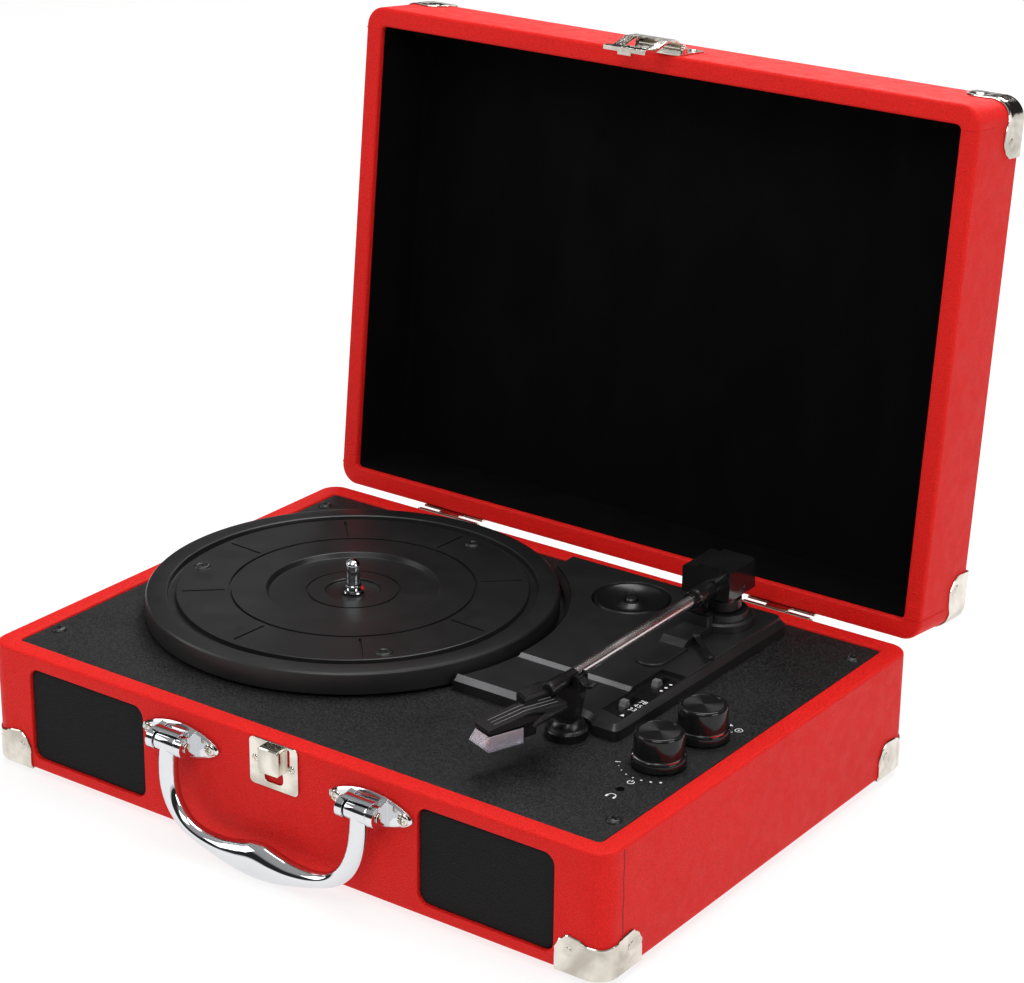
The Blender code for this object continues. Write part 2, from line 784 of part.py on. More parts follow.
def make_controls():
    for name, part, x, y in (
        ("volume_knob", "volume_pot", VOLUME_X, VOLUME_Y),
        ("function_knob", "function_switch", MODE_X, MODE_Y),
    ):
        profile = [
            (3.3, 59.6),
            (12.3, 59.6),
            (12.4, 60.2),
            (12.4, 63.8),
            (11.6, 64.4),
            (11.2, 75.0),
            (10.7, 75.6),
            (0.0, 75.6),
            (0.0, 70.4),
            (3.3, 70.4),
        ]
        solid(name, lathe(profile, 28, (x, y), "z", True), "gloss_black", (x, y, 60.0))
        profile = [
            (0.0, 40.0),
            (8.5, 40.0),
            (8.5, 55.6),
            (4.0, 55.6),
            (4.0, 59.2),
            (3.0, 59.2),
            (3.0, 70.0),
            (0.0, 70.0),
        ]
        solid(part, lathe(profile, 20, (x, y)), "steel")
    profile = [
        (0.0, 44.0),
        (5.5, 44.0),
        (5.5, 55.7),
        (1.8, 55.7),
        (1.8, 47.0),
        (0.0, 47.0),
    ]
    solid("headphone_jack", lathe(profile, 24, (JACK_X, JACK_Y)), "black_plastic")

    board = solid("amplifier_board", block(40.0, 150.0, 150.0, 225.0, 14.0, 15.6), "green_board")
    parts = (
        (50.0, 66.0, 160.0, 170.0, 24.0),
        (72.0, 84.0, 190.0, 215.0, 30.0),
        (100.0, 112.0, 160.0, 172.0, 28.0),
        (122.0, 146.0, 196.0, 218.0, 22.0),
        (54.0, 60.0, 196.0, 202.0, 26.0),
    )
    for k, (x0, x1, y0, y1, z1) in enumerate(parts):
        tool(board, "add_component_%d" % k, block(x0, x1, y0, y1, 15.0, z1), "UNION")
    for k, (x, y) in enumerate(((44.0, 154.0), (146.0, 154.0), (44.0, 221.0), (146.0, 221.0))):
        post = lathe([(2.2, FLOOR + 0.1), (2.2, 14.8)], 10, (x, y))
        tool(board, "add_standoff_%d" % k, post, "UNION")


# ---------------------------------------------------------------- tonearm


def make_board():
    clear_r = PLATTER_R + 2.2
    front = 91.0
    back = 240.0
    left = -7.0
    right = 120.8
    notch = 11.2
    start = math.degrees(math.asin((front - PLATTER_Y) / clear_r))
    end = math.degrees(math.acos((left - PLATTER_X) / clear_r))
    span = math.degrees(math.acos((front - REST_Y) / notch))
    outline = [(PLATTER_X + clear_r * math.cos(math.radians(start)), front)]
    outline += arc(REST_X, REST_Y, notch, 90.0 + span, 90.0 - span, 8)
    outline += arc(right - 3.2, front + 3.2, 3.2, 270.0, 360.0, 3)
    outline += arc(right - 6.0, back - 6.0, 6.0, 0.0, 90.0, 4)
    outline += [(left, back)]
    outline += arc(PLATTER_X, PLATTER_Y, clear_r, end, start, 18)[:-1]
    rings = [
        at_z(outline, DECK_TOP + 0.1),
        at_z(outline, BOARD_FRONT_TOP - 2.6),
        at_z(inset(outline, 2.4), BOARD_FRONT_TOP),
    ]
    board = solid("tonearm_board", loft(rings), "black_plastic")

    line = 127.5
    low = inset(outline, 2.6)
    upper = [(x, y) for x, y in low if y > line]
    first = math.sqrt(clear_r**2 - (line - PLATTER_Y) ** 2) + PLATTER_X + 2.7
    raised = [(first, line), (max(x for x, _ in low), line)] + upper
    crest = [(x, y + 2.6) if y < line + 0.1 else (x, y) for x, y in inset(raised, 0.3)]
    rings = [at_z(raised, BOARD_FRONT_TOP - 1.0), at_z(raised, BOARD_FRONT_TOP + 0.1), at_z(crest, BOARD_TOP)]
    tool(board, "add_raised_deck", loft(rings), "UNION")

    panel = [(104.6, 103.0), (118.0, 100.0), (118.0, 152.0), (104.6, 152.0)]
    rings = [at_z(panel, BOARD_FRONT_TOP - 1.0), at_z(panel, BOARD_TOP + 2.0)]
    tool(board, "cut_switch_panel", loft(rings))
    slots = joined(
        block(108.2, 112.0, 108.0, 124.0, 61.6, BOARD_TOP),
        block(108.2, 112.0, 136.0, 149.0, 61.6, BOARD_TOP),
    )
    tool(board, "cut_switch_slots", slots)
    dish = lathe([(19.4, 63.0), (19.4, 66.9), (20.4, 69.0)], 28, (ADAPTER_X, ADAPTER_Y))
    tool(board, "cut_adapter_dish", dish)
    peg = lathe([(2.9, 61.0), (2.9, 67.0), (2.2, 67.8)], 16, (ADAPTER_X, ADAPTER_Y))
    tool(board, "add_adapter_peg", peg, "UNION")

    profile = [
        (3.5, 63.2),
        (18.7, 63.2),
        (18.7, 67.0),
        (18.0, 67.7),
        (17.0, 67.7),
        (15.6, 66.6),
        (9.5, 64.8),
        (7.6, 65.4),
        (5.4, 66.8),
        (3.5, 66.8),
    ]
    origin = (ADAPTER_X, ADAPTER_Y, 64.0)
    solid("adapter_45", lathe(profile, 28, (ADAPTER_X, ADAPTER_Y), "z", True), "gloss_black", origin)

    for name, y in (("speed_switch", 113.0), ("auto_stop_switch", 139.5)):
        foot = block(108.5, 111.7, y - 2.4, y + 2.4, 62.2, 66.2)
        ridge = loft(
            [
                at_x([(y - 2.4, 66.0), (y + 2.4, 66.0), (y + 1.4, 68.4), (y - 1.4, 68.4)], 108.5),
                at_x([(y - 2.4, 66.0), (y + 2.4, 66.0), (y + 1.4, 68.4), (y - 1.4, 68.4)], 111.7),
            ]
        )
        switch = solid(name, foot, "black_plastic", (110.1, y, 64.0))
        tool(switch, "add_ridge_" + name, ridge, "UNION")


def make_arm_base():
    low = BOARD_TOP + 0.1
    side = [
        (172.5, low),
        (197.0, low),
        (197.0, low + 3.8),
        (178.5, low + 3.8),
        (174.5, low + 1.2),
        (172.5, low + 1.2),
    ]
    base = solid("tonearm_base", loft([at_x(side, 88.2), at_x(side, 101.6)]), "black_plastic")
    tongue = [(103.3, 176.0), (88.5, 176.0)] + arc(95.9, 157.0, 7.4, 180.0, 360.0, 12)
    tongue.reverse()
    rings = [at_z(tongue, low), at_z(tongue, low + 0.8), at_z(inset(tongue, -0.5), low + 1.3)]
    tool(base, "add_tongue", loft(rings), "UNION")
    tower = rect(83.0, 101.6, 195.8, 201.4, 1.0, 2)
    tool(base, "add_cue_block", loft([at_z(tower, low), at_z(tower, low + 9.2)]), "UNION")
    profile = [
        (0.0, low),
        (15.6, low),
        (15.6, low + 3.4),
        (14.6, low + 4.4),
        (12.6, low + 4.6),
        (12.2, low + 7.2),
        (4.5, low + 7.2),
        (4.5, low + 1.6),
        (0.0, low + 1.6),
    ]
    tool(base, "add_ring", lathe(profile, 36, (PIVOT_X, PIVOT_Y)), "UNION")
    bore = lathe([(1.75, low + 0.9), (1.75, low + 14.0)], 16, (LIFT_X, LIFT_Y))
    tool(base, "cut_lift_bore", bore)

    rest = solid(
        "arm_rest",
        lathe(
            [
                (0.0, DECK_TOP + 0.1),
                (9.9, DECK_TOP + 0.1),
                (9.9, 62.6),
                (9.2, 63.4),
                (8.5, 63.8),
                (8.1, 65.4),
                (6.8, 67.2),
                (5.4, 67.6),
                (0.0, 67.6),
            ],
            28,
            (REST_X, REST_Y),
        ),
        "black_plastic",
    )
    post = [
        (93.8, 66.0),
        (103.6, 66.0),
        (106.5, 82.0),
        (106.5, CLIP_Z - 2.2),
        (103.4, CLIP_Z - 2.2),
        (103.4, 85.4),
        (95.8, 85.4),
    ]
    y0 = REST_Y - 3.0
    y1 = REST_Y + 3.0
    tool(rest, "add_post", loft([at_y(post, y0), at_y(post, y1)]), "UNION")
    for k, y in enumerate((y0 - 0.9, y1 - 0.3)):
        ear = [(CLIP_X + 1.7, 84.0), (CLIP_X + 1.7, CLIP_Z + 0.8), (CLIP_X + 0.8, CLIP_Z + 1.7)]
        ear += [(CLIP_X - 0.8, CLIP_Z + 1.7), (CLIP_X - 1.3, CLIP_Z + 0.8), (CLIP_X - 1.3, 84.0)]
        tool(rest, "add_clip_ear_%d" % k, loft([at_y(ear, y), at_y(ear, y + 1.2)]), "UNION")
    pin = lathe([(0.65, y0 - 0.6), (0.65, y1 + 0.6)], 10, (CLIP_X, CLIP_Z), "y")
    tool(rest, "add_clip_pin", pin, "UNION")

    hook = arc(0.0, 0.0, 1.7, -70.0, 110.0, 8)
    hook += [(-3.0, 4.0), (-5.8, 4.3), (-7.8, 3.5), (-8.5, 2.5), (-7.7, 2.2)]
    hook += [(-5.5, 2.9), (-3.4, 2.7), (-1.8, 1.2)]
    hook = [(CLIP_X + x, CLIP_Z + z) for x, z in hook]
    place = Matrix.Translation(Vector((CLIP_X, 0.0, CLIP_Z)))
    matrix = place @ Matrix.Rotation(CLIP_OPEN, 4, "Y") @ place.inverted()
    shape = loft([at_y(hook, REST_Y - 2.4), at_y(hook, REST_Y + 2.4)])
    clip = solid("arm_clip", turned(shape, matrix), "black_plastic", (CLIP_X, REST_Y, CLIP_Z))
    bore = lathe([(0.95, REST_Y - 4.0), (0.95, REST_Y + 4.0)], 12, (CLIP_X, CLIP_Z), "y")
    tool(clip, "cut_clip_bore", bore)


def make_cue():
    lever_y = CUE_Y
    lever_z = CUE_Z
    hub = lathe([(2.4, 102.0), (2.4, 105.2)], 16, (lever_y, lever_z), "x")
    lever = solid("cue_lever", hub, "black_plastic", (103.6, lever_y, lever_z))
    path = [
        (103.8, 183.2, 1.5, 1.3),
        (107.0, 180.4, 1.5, 1.2),
        (114.0, 174.2, 1.3, 1.1),
        (119.0, 169.8, 1.3, 1.1),
        (121.2, 167.9, 1.9, 1.5),
        (122.4, 166.8, 1.3, 1.1),
    ]
    rows = []
    run = Vector((0.74, -0.67))
    for x, y, across, up in path:
        ring = []
        for j in range(8):
            angle = 2.0 * math.pi * (j + 0.5) / 8
            side = across * math.cos(angle)
            ring.append((x - run.y * side, y + run.x * side, lever_z + 0.2 + up * math.sin(angle)))
        rows.append(ring)
    tool(lever, "add_lever_arm", loft(rows), "UNION")

    low = BOARD_TOP + 0.1
    lift = solid(
        "cue_lift",
        lathe([(1.45, low + 1.6), (1.45, low + 10.0)], 14, (LIFT_X, LIFT_Y)),
        "black_plastic",
        (LIFT_X, LIFT_Y, low + 9.6),
    )
    plate = rect(84.4, 101.0, 196.6, 200.6, 1.0, 2)
    shape = loft([at_z(plate, low + 9.5), at_z(plate, low + 10.7)])
    tool(lift, "add_lift_plate", shape, "UNION")


def head_frame(points, t):
    """Points (s, z) along the head, at t to its right."""
    a = Vector((-math.sin(HEAD_TURN), -math.cos(HEAD_TURN)))
    b = Vector((math.cos(HEAD_TURN), -math.sin(HEAD_TURN)))
    return [(HEAD_X + a.x * s + b.x * t, HEAD_Y + a.y * s + b.y * t, z) for s, z in points]


def head_plan(points, z):
    """Points (s, t) in the head's plan, at one height."""
    a = Vector((-math.sin(HEAD_TURN), -math.cos(HEAD_TURN)))
    b = Vector((math.cos(HEAD_TURN), -math.sin(HEAD_TURN)))
    return [(HEAD_X + a.x * s + b.x * t, HEAD_Y + a.y * s + b.y * t, z) for s, t in points]


def make_tonearm():
    spin = (PIVOT_X, PIVOT_Y, 80.0)
    yaw = (0.0, 0.0, ARM_YAW)
    profile = [
        (0.0, 70.0),
        (4.1, 70.0),
        (4.1, 75.4),
        (8.8, 75.4),
        (9.3, 76.2),
        (9.1, 81.0),
        (8.3, 82.2),
        (0.0, 82.2),
    ]
    turret = solid("tonearm_turret", lathe(profile, 28, (PIVOT_X, PIVOT_Y)), "black_plastic", spin, yaw)
    post = block(PIVOT_X - 5.0, PIVOT_X + 5.0, PIVOT_Y - 3.0, PIVOT_Y + 3.0, 81.0, 95.0)
    tool(turret, "add_turret_post", post, "UNION")
    pin = lathe([(1.2, PIVOT_X - 12.0), (1.2, PIVOT_X + 11.4)], 14, (PIVOT_Y, ARM_Z), "x")
    tool(turret, "add_lift_pin", pin, "UNION")

    lift = (PIVOT_X, PIVOT_Y, ARM_Z)
    x0 = PIVOT_X - 14.6
    x1 = PIVOT_X + 11.2
    y0 = PIVOT_Y - 14.0
    y1 = PIVOT_Y + 11.0
    low = 84.6
    high = 100.2
    body = [
        (x0, low),
        (x1, low),
        (x1, high - 1.2),
        (x1 - 1.2, high),
        (x0 + 8.4, high),
        (x0 + 7.2, high - 1.6),
        (x0 + 1.2, high - 1.8),
        (x0, high - 3.0),
    ]
    rings = [
        [(x, y0 + (1.5 if z > 98.4 else 0.0), z) for x, z in body],
        [(x, y1 - (1.5 if z > 98.4 else 0.0), z) for x, z in body],
    ]
    housing = solid("tonearm_housing", loft(rings), "black_plastic", lift, yaw)
    profile = [(4.6, y0 + 1.0), (4.6, y0 - 12.0), (3.9, y0 - 13.0), (3.9, y0 - 16.4)]
    tool(housing, "add_neck", lathe(profile, 20, (PIVOT_X, ARM_Z), "y"), "UNION")
    tool(housing, "cut_tube_bore", lathe([(2.9, y0 - 18.0), (2.9, y0 - 10.0)], 16, (PIVOT_X, ARM_Z), "y"))
    tool(
        housing,
        "cut_housing_inside",
        block(PIVOT_X - 8.5, PIVOT_X + 8.5, PIVOT_Y - 8.0, PIVOT_Y + 8.0, low - 1.0, 96.6),
    )
    bore = lathe([(1.5, PIVOT_X - 12.6), (1.5, x1 + 1.0)], 16, (PIVOT_Y, ARM_Z), "x")
    tool(housing, "cut_pin_bore", bore)

    profile = [(0.0, y0 - 10.4), (TUBE_R, y0 - 10.4), (TUBE_R, 86.6), (1.9, 86.6), (1.9, 75.4), (0.0, 75.4)]
    solid("tonearm_tube", lathe(profile, 20, (PIVOT_X, ARM_Z), "y"), "aluminium", lift, yaw)

    side = [(0.0, 85.5), (19.5, 85.5), (40.5, 82.2), (40.5, 80.2), (38.0, 79.9), (10.0, 81.3), (0.0, 82.8)]
    head = solid("headshell", loft([head_frame(side, -5.6), head_frame(side, 5.6)]), "black_plastic", lift)
    neck = [(90.2, 57.2), (98.3, 52.6), (101.2, 66.0), (102.6, 77.0), (96.2, 77.0), (91.3, 71.0)]
    rings = [at_z(neck, 82.6), at_z(neck, 87.6), at_z(inset(neck, 0.9), 88.5)]
    tool(head, "add_neck_plate", loft(rings), "UNION")
    matrix = Matrix.Translation(Vector(lift)) @ Matrix.Rotation(ARM_YAW, 4, "Z")
    matrix = matrix @ Matrix.Translation(-Vector(lift))
    collar = lathe([(2.8, 66.0), (3.5, 67.0), (3.5, 77.6), (2.8, 78.2), (2.8, 86.4)], 20, (PIVOT_X, ARM_Z), "y")
    tool(head, "add_collar", turned(collar, matrix), "UNION")
    bore = lathe([(2.0, 75.0), (2.0, 88.0)], 16, (PIVOT_X, ARM_Z), "y")
    tool(head, "cut_collar_bore", turned(bore, matrix))
    lift_plan = [(-0.5, 4.6), (10.5, 5.2), (21.2, 11.6), (22.6, 12.8), (21.4, 13.4), (12.0, 10.2), (0.0, 6.6)]
    rings = [head_plan(lift_plan, 82.4), head_plan(lift_plan, 83.6)]
    tool(head, "add_finger_lift", loft(rings), "UNION")

    side = [(15.0, 80.8), (36.6, 79.6), (39.2, 77.0), (37.4, 73.8), (30.0, 73.4), (15.4, 73.6), (15.0, 74.2)]
    solid("cartridge", loft([head_frame(side, -4.5), head_frame(side, 4.5)]), "gloss_black", lift)

    side = [(22.6, 79.2), (22.6, 72.2), (23.2, 71.8), (40.6, 71.8), (43.6, 74.6), (40.0, 79.2)]
    guard = solid(
        "stylus_guard",
        loft([head_frame(side, -5.8), head_frame(side, 5.8)]),
        "clear",
        head_frame([(33.0, 75.0)], 0.0)[0],
    )
    side = [(20.0, 80.9), (20.0, 72.8), (40.2, 72.8), (42.1, 74.7), (39.0, 80.9)]
    tool(guard, "cut_guard_inside", loft([head_frame(side, -4.9), head_frame(side, 4.9)]))


clear_scene()
make_case()
make_corners()
make_sockets()
make_lid()
make_hinges()
make_latch()
make_handle()
make_turntable()
make_controls()
make_board()
make_arm_base()
make_cue()
make_tonearm()
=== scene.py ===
"""Suitcase record player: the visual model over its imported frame.

Shapes are drawn in the case frame, in millimetres: x to the right from the middle, y back from the
front face, z up from the underside. BASE carries them into the row frame. LID does the same for
pieces drawn with the lid shut, and swings them open with it.
"""

import json
import math
import random

import bmesh
import bpy
from mathutils import Matrix, Vector

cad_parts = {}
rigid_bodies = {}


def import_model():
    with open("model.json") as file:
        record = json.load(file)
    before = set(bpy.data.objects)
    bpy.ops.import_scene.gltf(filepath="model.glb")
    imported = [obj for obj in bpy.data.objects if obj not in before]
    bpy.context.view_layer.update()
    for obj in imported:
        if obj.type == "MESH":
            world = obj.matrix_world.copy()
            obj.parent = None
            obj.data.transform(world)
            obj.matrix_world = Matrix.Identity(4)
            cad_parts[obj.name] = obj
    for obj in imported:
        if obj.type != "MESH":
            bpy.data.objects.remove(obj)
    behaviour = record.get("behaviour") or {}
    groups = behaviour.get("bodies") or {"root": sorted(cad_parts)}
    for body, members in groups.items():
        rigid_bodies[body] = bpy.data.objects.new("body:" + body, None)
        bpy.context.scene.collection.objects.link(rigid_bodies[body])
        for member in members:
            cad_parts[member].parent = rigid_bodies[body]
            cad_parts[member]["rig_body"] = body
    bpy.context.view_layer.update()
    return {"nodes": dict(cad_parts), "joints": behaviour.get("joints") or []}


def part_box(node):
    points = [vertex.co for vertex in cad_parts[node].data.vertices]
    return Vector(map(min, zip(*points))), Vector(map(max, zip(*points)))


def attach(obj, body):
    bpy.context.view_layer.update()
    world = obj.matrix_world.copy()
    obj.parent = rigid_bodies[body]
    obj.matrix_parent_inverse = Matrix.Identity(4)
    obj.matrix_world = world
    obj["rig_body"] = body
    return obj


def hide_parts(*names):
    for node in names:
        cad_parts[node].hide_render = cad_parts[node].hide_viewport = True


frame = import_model()

NODES = frame["nodes"]
JOINTS = {joint["name"]: joint for joint in frame["joints"]}
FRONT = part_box("case_base")[0].y
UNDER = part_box("case_base")[0].z
MM = 0.001
BASE = Matrix.Translation((0.0, FRONT, UNDER)) @ Matrix.Scale(MM, 4)


def to_mm(point):
    return BASE.inverted() @ Vector(point)


def span(node):
    """A CAD node's lowest and highest corner in the case frame."""
    low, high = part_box(node)
    return to_mm(low), to_mm(high)


def middle(node):
    low, high = span(node)
    return (low + high) / 2.0


def swung(pivot, angle, axis):
    """A turn about a point of the case frame, carried into the row frame."""
    there = Matrix.Translation(pivot)
    return BASE @ there @ Matrix.Rotation(angle, 4, axis) @ there.inverted()


HALF, DEPTH, CASE_TOP = span("case_base")[1]
DECK = span("deck_panel")[1].z
HINGE = to_mm(JOINTS["lid_hinge"]["pos_m"])
LID_TURN = math.radians(min(JOINTS["lid_hinge"]["range_deg"]))
LID = swung(HINGE, LID_TURN, "X")
LID_LOW = CASE_TOP + 0.5
LID_HIGH = LID_LOW + 44.3
CORNER_R = 10.0
EDGE_R = 1.7
RIM = 10.3
LID_RIM = 9.7
PLATTER = middle("platter")
PLATTER_TOP = span("platter")[1].z
GUARD = to_mm(JOINTS["guard_pull"]["pos_m"])
HEAD_RUN = Vector(JOINTS["guard_pull"]["axis"])
HANDLE = to_mm(JOINTS["handle_hinge"]["pos_m"])
HANDLE_TILT = math.radians(5.0)
PANEL_Z = 65.4
SPEEDS = (("33", 112.0), ("45", 116.4), ("78", 120.8))
SIDES = ("left", "right")
ENDS = ("front", "back")
FORWARD = (0.0, -1.0, 0.0)
BACKWARD = (0.0, 1.0, 0.0)
RED = (0.75, 0.016, 0.0125)


# ---- shapes


def loft(rings, closed=False, caps=True, around=True):
    """Rings with equal numbers of points, joined in order."""
    verts = [tuple(p) for ring in rings for p in ring]
    n = len(rings[0])
    faces = []
    count = len(rings)
    for k in range(count if closed else count - 1):
        a = k * n
        b = ((k + 1) % count) * n
        for i in range(n if around else n - 1):
            j = (i + 1) % n
            faces.append((a + i, a + j, b + j, b + i))
    if caps and not closed:
        faces.append(tuple(range(n - 1, -1, -1)))
        faces.append(tuple(range((count - 1) * n, count * n)))
    return verts, faces


def lathe(profile, centre, axis="z", steps=64, closed=False):
    """A profile of (radius, height) points turned about an axis through the centre."""
    rings = []
    for radius, height in profile:
        ring = []
        for p, q in circle(*centre, radius, steps):
            ring.append({"z": (p, q, height), "y": (p, height, q), "x": (height, p, q)}[axis])
        rings.append(ring)
    return loft(rings, closed)


def joined(*shapes):
    verts = []
    faces = []
    for more_verts, more_faces in shapes:
        start = len(verts)
        verts.extend(more_verts)
        faces.extend(tuple(start + i for i in face) for face in more_faces)
    return verts, faces


def arc(cx, cy, radius, start, end, n):
    """Points on a circle, angles in degrees."""
    points = []
    for k in range(n + 1):
        angle = math.radians(start + (end - start) * k / n)
        points.append((cx + radius * math.cos(angle), cy + radius * math.sin(angle)))
    return points


def circle(cx, cy, radius, steps):
    return arc(cx, cy, radius, 0.0, 360.0, steps)[:-1]


def rect(x0, x1, y0, y1, radius, n=12):
    """A rounded rectangle, anticlockwise."""
    points = arc(x1 - radius, y1 - radius, radius, 0.0, 90.0, n)
    points += arc(x0 + radius, y1 - radius, radius, 90.0, 180.0, n)
    points += arc(x0 + radius, y0 + radius, radius, 180.0, 270.0, n)
    points += arc(x1 - radius, y0 + radius, radius, 270.0, 360.0, n)
    return points


def at_z(points, z):
    return [(x, y, z) for x, y in points]


def at_y(points, y):
    return [(x, y, z) for x, z in points]


def inset(points, distance):
    """The anticlockwise outline moved inward."""
    result = []
    n = len(points)
    for i in range(n):
        before = Vector(points[i]) - Vector(points[i - 1])
        after = Vector(points[(i + 1) % n]) - Vector(points[i])
        a = Vector((-before.y, before.x)).normalized()
        b = Vector((-after.y, after.x)).normalized()
        mitre = a + b
        scale = distance / max(0.4, 1.0 + a.dot(b))
        result.append((points[i][0] + mitre.x * scale, points[i][1] + mitre.y * scale))
    return result


def smooth(points, per):
    """Catmull-Rom points through a list of tuples of any length."""
    ends = [points[0]] + list(points) + [points[-1]]
    result = []
    for k in range(len(points) - 1):
        a, b, c, d = ends[k : k + 4]
        for j in range(per):
            t = j / per
            row = []
            for p, q, r, s in zip(a, b, c, d):
                value = 2 * q + (r - p) * t
                value += (2 * p - 5 * q + 4 * r - s) * t * t
                value += (3 * q - p - 3 * r + s) * t**3
                row.append(0.5 * value)
            result.append(tuple(row))
    result.append(tuple(points[-1]))
    return result


def rope(path, radius, steps=10):
    """A round strand along a path; the radius may change from point to point."""
    rings = []
    for k, point in enumerate(path):
        run = Vector(path[min(k + 1, len(path) - 1)]) - Vector(path[max(k - 1, 0)])
        side = run.cross(Vector((0.13, 0.31, 0.94))).normalized()
        lift = run.cross(side).normalized()
        size = radius[k] if isinstance(radius, (list, tuple)) else radius
        rings.append([Vector(point) + side * u + lift * v for u, v in circle(0.0, 0.0, size, steps)])
    return loft(rings)


def facing(spot, out, turn=0.0):
    """A frame at a spot whose z points out of a surface."""
    aim = Vector(out).normalized().to_track_quat("Z", "Y").to_matrix().to_4x4()
    return Matrix.Translation(spot) @ aim @ Matrix.Rotation(turn, 4, "Z")


def carried(shape, matrix):
    verts, faces = shape
    return [tuple(matrix @ Vector(v)) for v in verts], faces


def soft_step(value, low, high):
    t = min(1.0, max(0.0, (value - low) / (high - low)))
    return t * t * (3.0 - 2.0 * t)


def hump(value, centre, width):
    return math.exp(-(((value - centre) / width) ** 2))


def screw(spot, out, radius, rise, turn):
    """A pan head with a cross recess."""
    rings = []
    count = 14
    half_slot = 0.13 * radius
    reach = 0.5 * radius
    sink = 0.75 * rise
    for k in range(count + 1):
        r = radius * (1.0 - k / count)
        height = rise * math.sqrt(max(0.0, 1.0 - (r / radius) ** 2.6))
        ring = []
        for u, v in circle(0.0, 0.0, r, 48):
            cross = 1.0 - soft_step(min(abs(u), abs(v)), half_slot, half_slot * 1.7)
            cross *= 1.0 - soft_step(max(abs(u), abs(v)), reach, reach * 1.24)
            ring.append((u, v, height - cross * sink))
        rings.append(ring)
    return carried(loft(rings), facing(spot, out, turn))


def dome(spot, out, radius, rise):
    """A rivet head with a small flat rim."""
    profile = [(radius, 0.0), (radius, rise * 0.25)]
    for across, up in arc(0.0, 0.0, 1.0, 0.0, 90.0, 10):
        profile.append((radius * 0.9 * across, rise * (0.3 + 0.7 * up)))
    return carried(lathe(profile, (0.0, 0.0), "z", 28), facing(spot, out))


def digits(text, size, spot):
    """Flat figures in the built-in face, drawn on a level surface."""
    curve = bpy.data.curves.new("figures", "FONT")
    curve.body = text
    curve.size = size
    curve.align_x = "CENTER"
    curve.align_y = "CENTER"
    curve.extrude = 0.02
    holder = placed("figures", curve)
    view = bpy.context.evaluated_depsgraph_get()
    mesh = bpy.data.meshes.new_from_object(holder.evaluated_get(view))
    shape = [tuple(v.co) for v in mesh.vertices], [tuple(p.vertices) for p in mesh.polygons]
    bpy.data.objects.remove(holder)
    bpy.data.meshes.remove(mesh)
    return carried(shape, Matrix.Translation(spot))


# ---- pieces


def placed(name, data):
    """A new object in the scene, holding a mesh, a lamp, a camera or a text."""
    obj = bpy.data.objects.new(name, data)
    bpy.context.scene.collection.objects.link(obj)
    return obj


def body_from(name, shape, matrix):
    verts, faces = shape
    mesh = bpy.data.meshes.new(name)
    mesh.from_pydata([matrix @ Vector(v) for v in verts], [], faces)
    work = bmesh.new()
    work.from_mesh(mesh)
    bmesh.ops.remove_doubles(work, verts=work.verts, dist=2e-7)
    bmesh.ops.recalc_face_normals(work, faces=work.faces)
    work.to_mesh(mesh)
    work.free()
    return placed(name, mesh)


def carve(obj, shape, matrix):
    """Takes a shape out of a piece."""
    helper = body_from("helper", shape, matrix)
    step = obj.modifiers.new("carve", "BOOLEAN")
    step.solver = "EXACT"
    step.object = helper
    view = bpy.context.evaluated_depsgraph_get()
    mesh = bpy.data.meshes.new_from_object(obj.evaluated_get(view))
    obj.modifiers.clear()
    obj.data = mesh
    bpy.data.objects.remove(helper)


def dress(obj, paint, body, replaces, bevel, angle):
    """Paints a piece, rides it on its CAD body and lets it stand for the CAD nodes named."""
    mesh = obj.data
    mesh.materials.clear()
    mesh.materials.append(paint)
    mesh.shade_smooth()
    mesh.set_sharp_from_angle(angle=math.radians(angle))
    if bevel:
        rounding = obj.modifiers.new("rounding", "BEVEL")
        rounding.width = bevel * MM
        rounding.segments = 3
        rounding.limit_method = "ANGLE"
        rounding.angle_limit = math.radians(max(angle, 32.0))
        rounding.harden_normals = True
        rounding.use_clamp_overlap = True
    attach(obj, body)
    if replaces:
        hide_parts(*replaces)


def piece(name, shape, paint, body, matrix=BASE, replaces=(), bevel=0.0, angle=35.0, cuts=()):
    """One visual piece made from a drawn shape."""
    obj = body_from(name, shape, matrix)
    for cut in cuts:
        carve(obj, cut, matrix)
    dress(obj, paint, body, replaces, bevel, angle)


def refined(node, paint, bevel):
    """A CAD node's own shape as one clean skin: flat faces merged, round faces smooth, edges eased."""
    source = NODES[node]
    mesh = source.data.copy()
    work = bmesh.new()
    work.from_mesh(mesh)
    bmesh.ops.remove_doubles(work, verts=work.verts, dist=1e-6)
    bmesh.ops.dissolve_limit(work, angle_limit=math.radians(0.6), verts=work.verts, edges=work.edges)
    bmesh.ops.recalc_face_normals(work, faces=work.faces)
    work.to_mesh(mesh)
    work.free()
    obj = placed(node + "_skin", mesh)
    dress(obj, paint, source["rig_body"], [node], bevel, 30.0)


# ---- paints


EVEN = (1.0, 1.0, 1.0)
ORIGIN = (0.0, 0.0, 0.0)
WAVES_PER_UNIT = 3.18


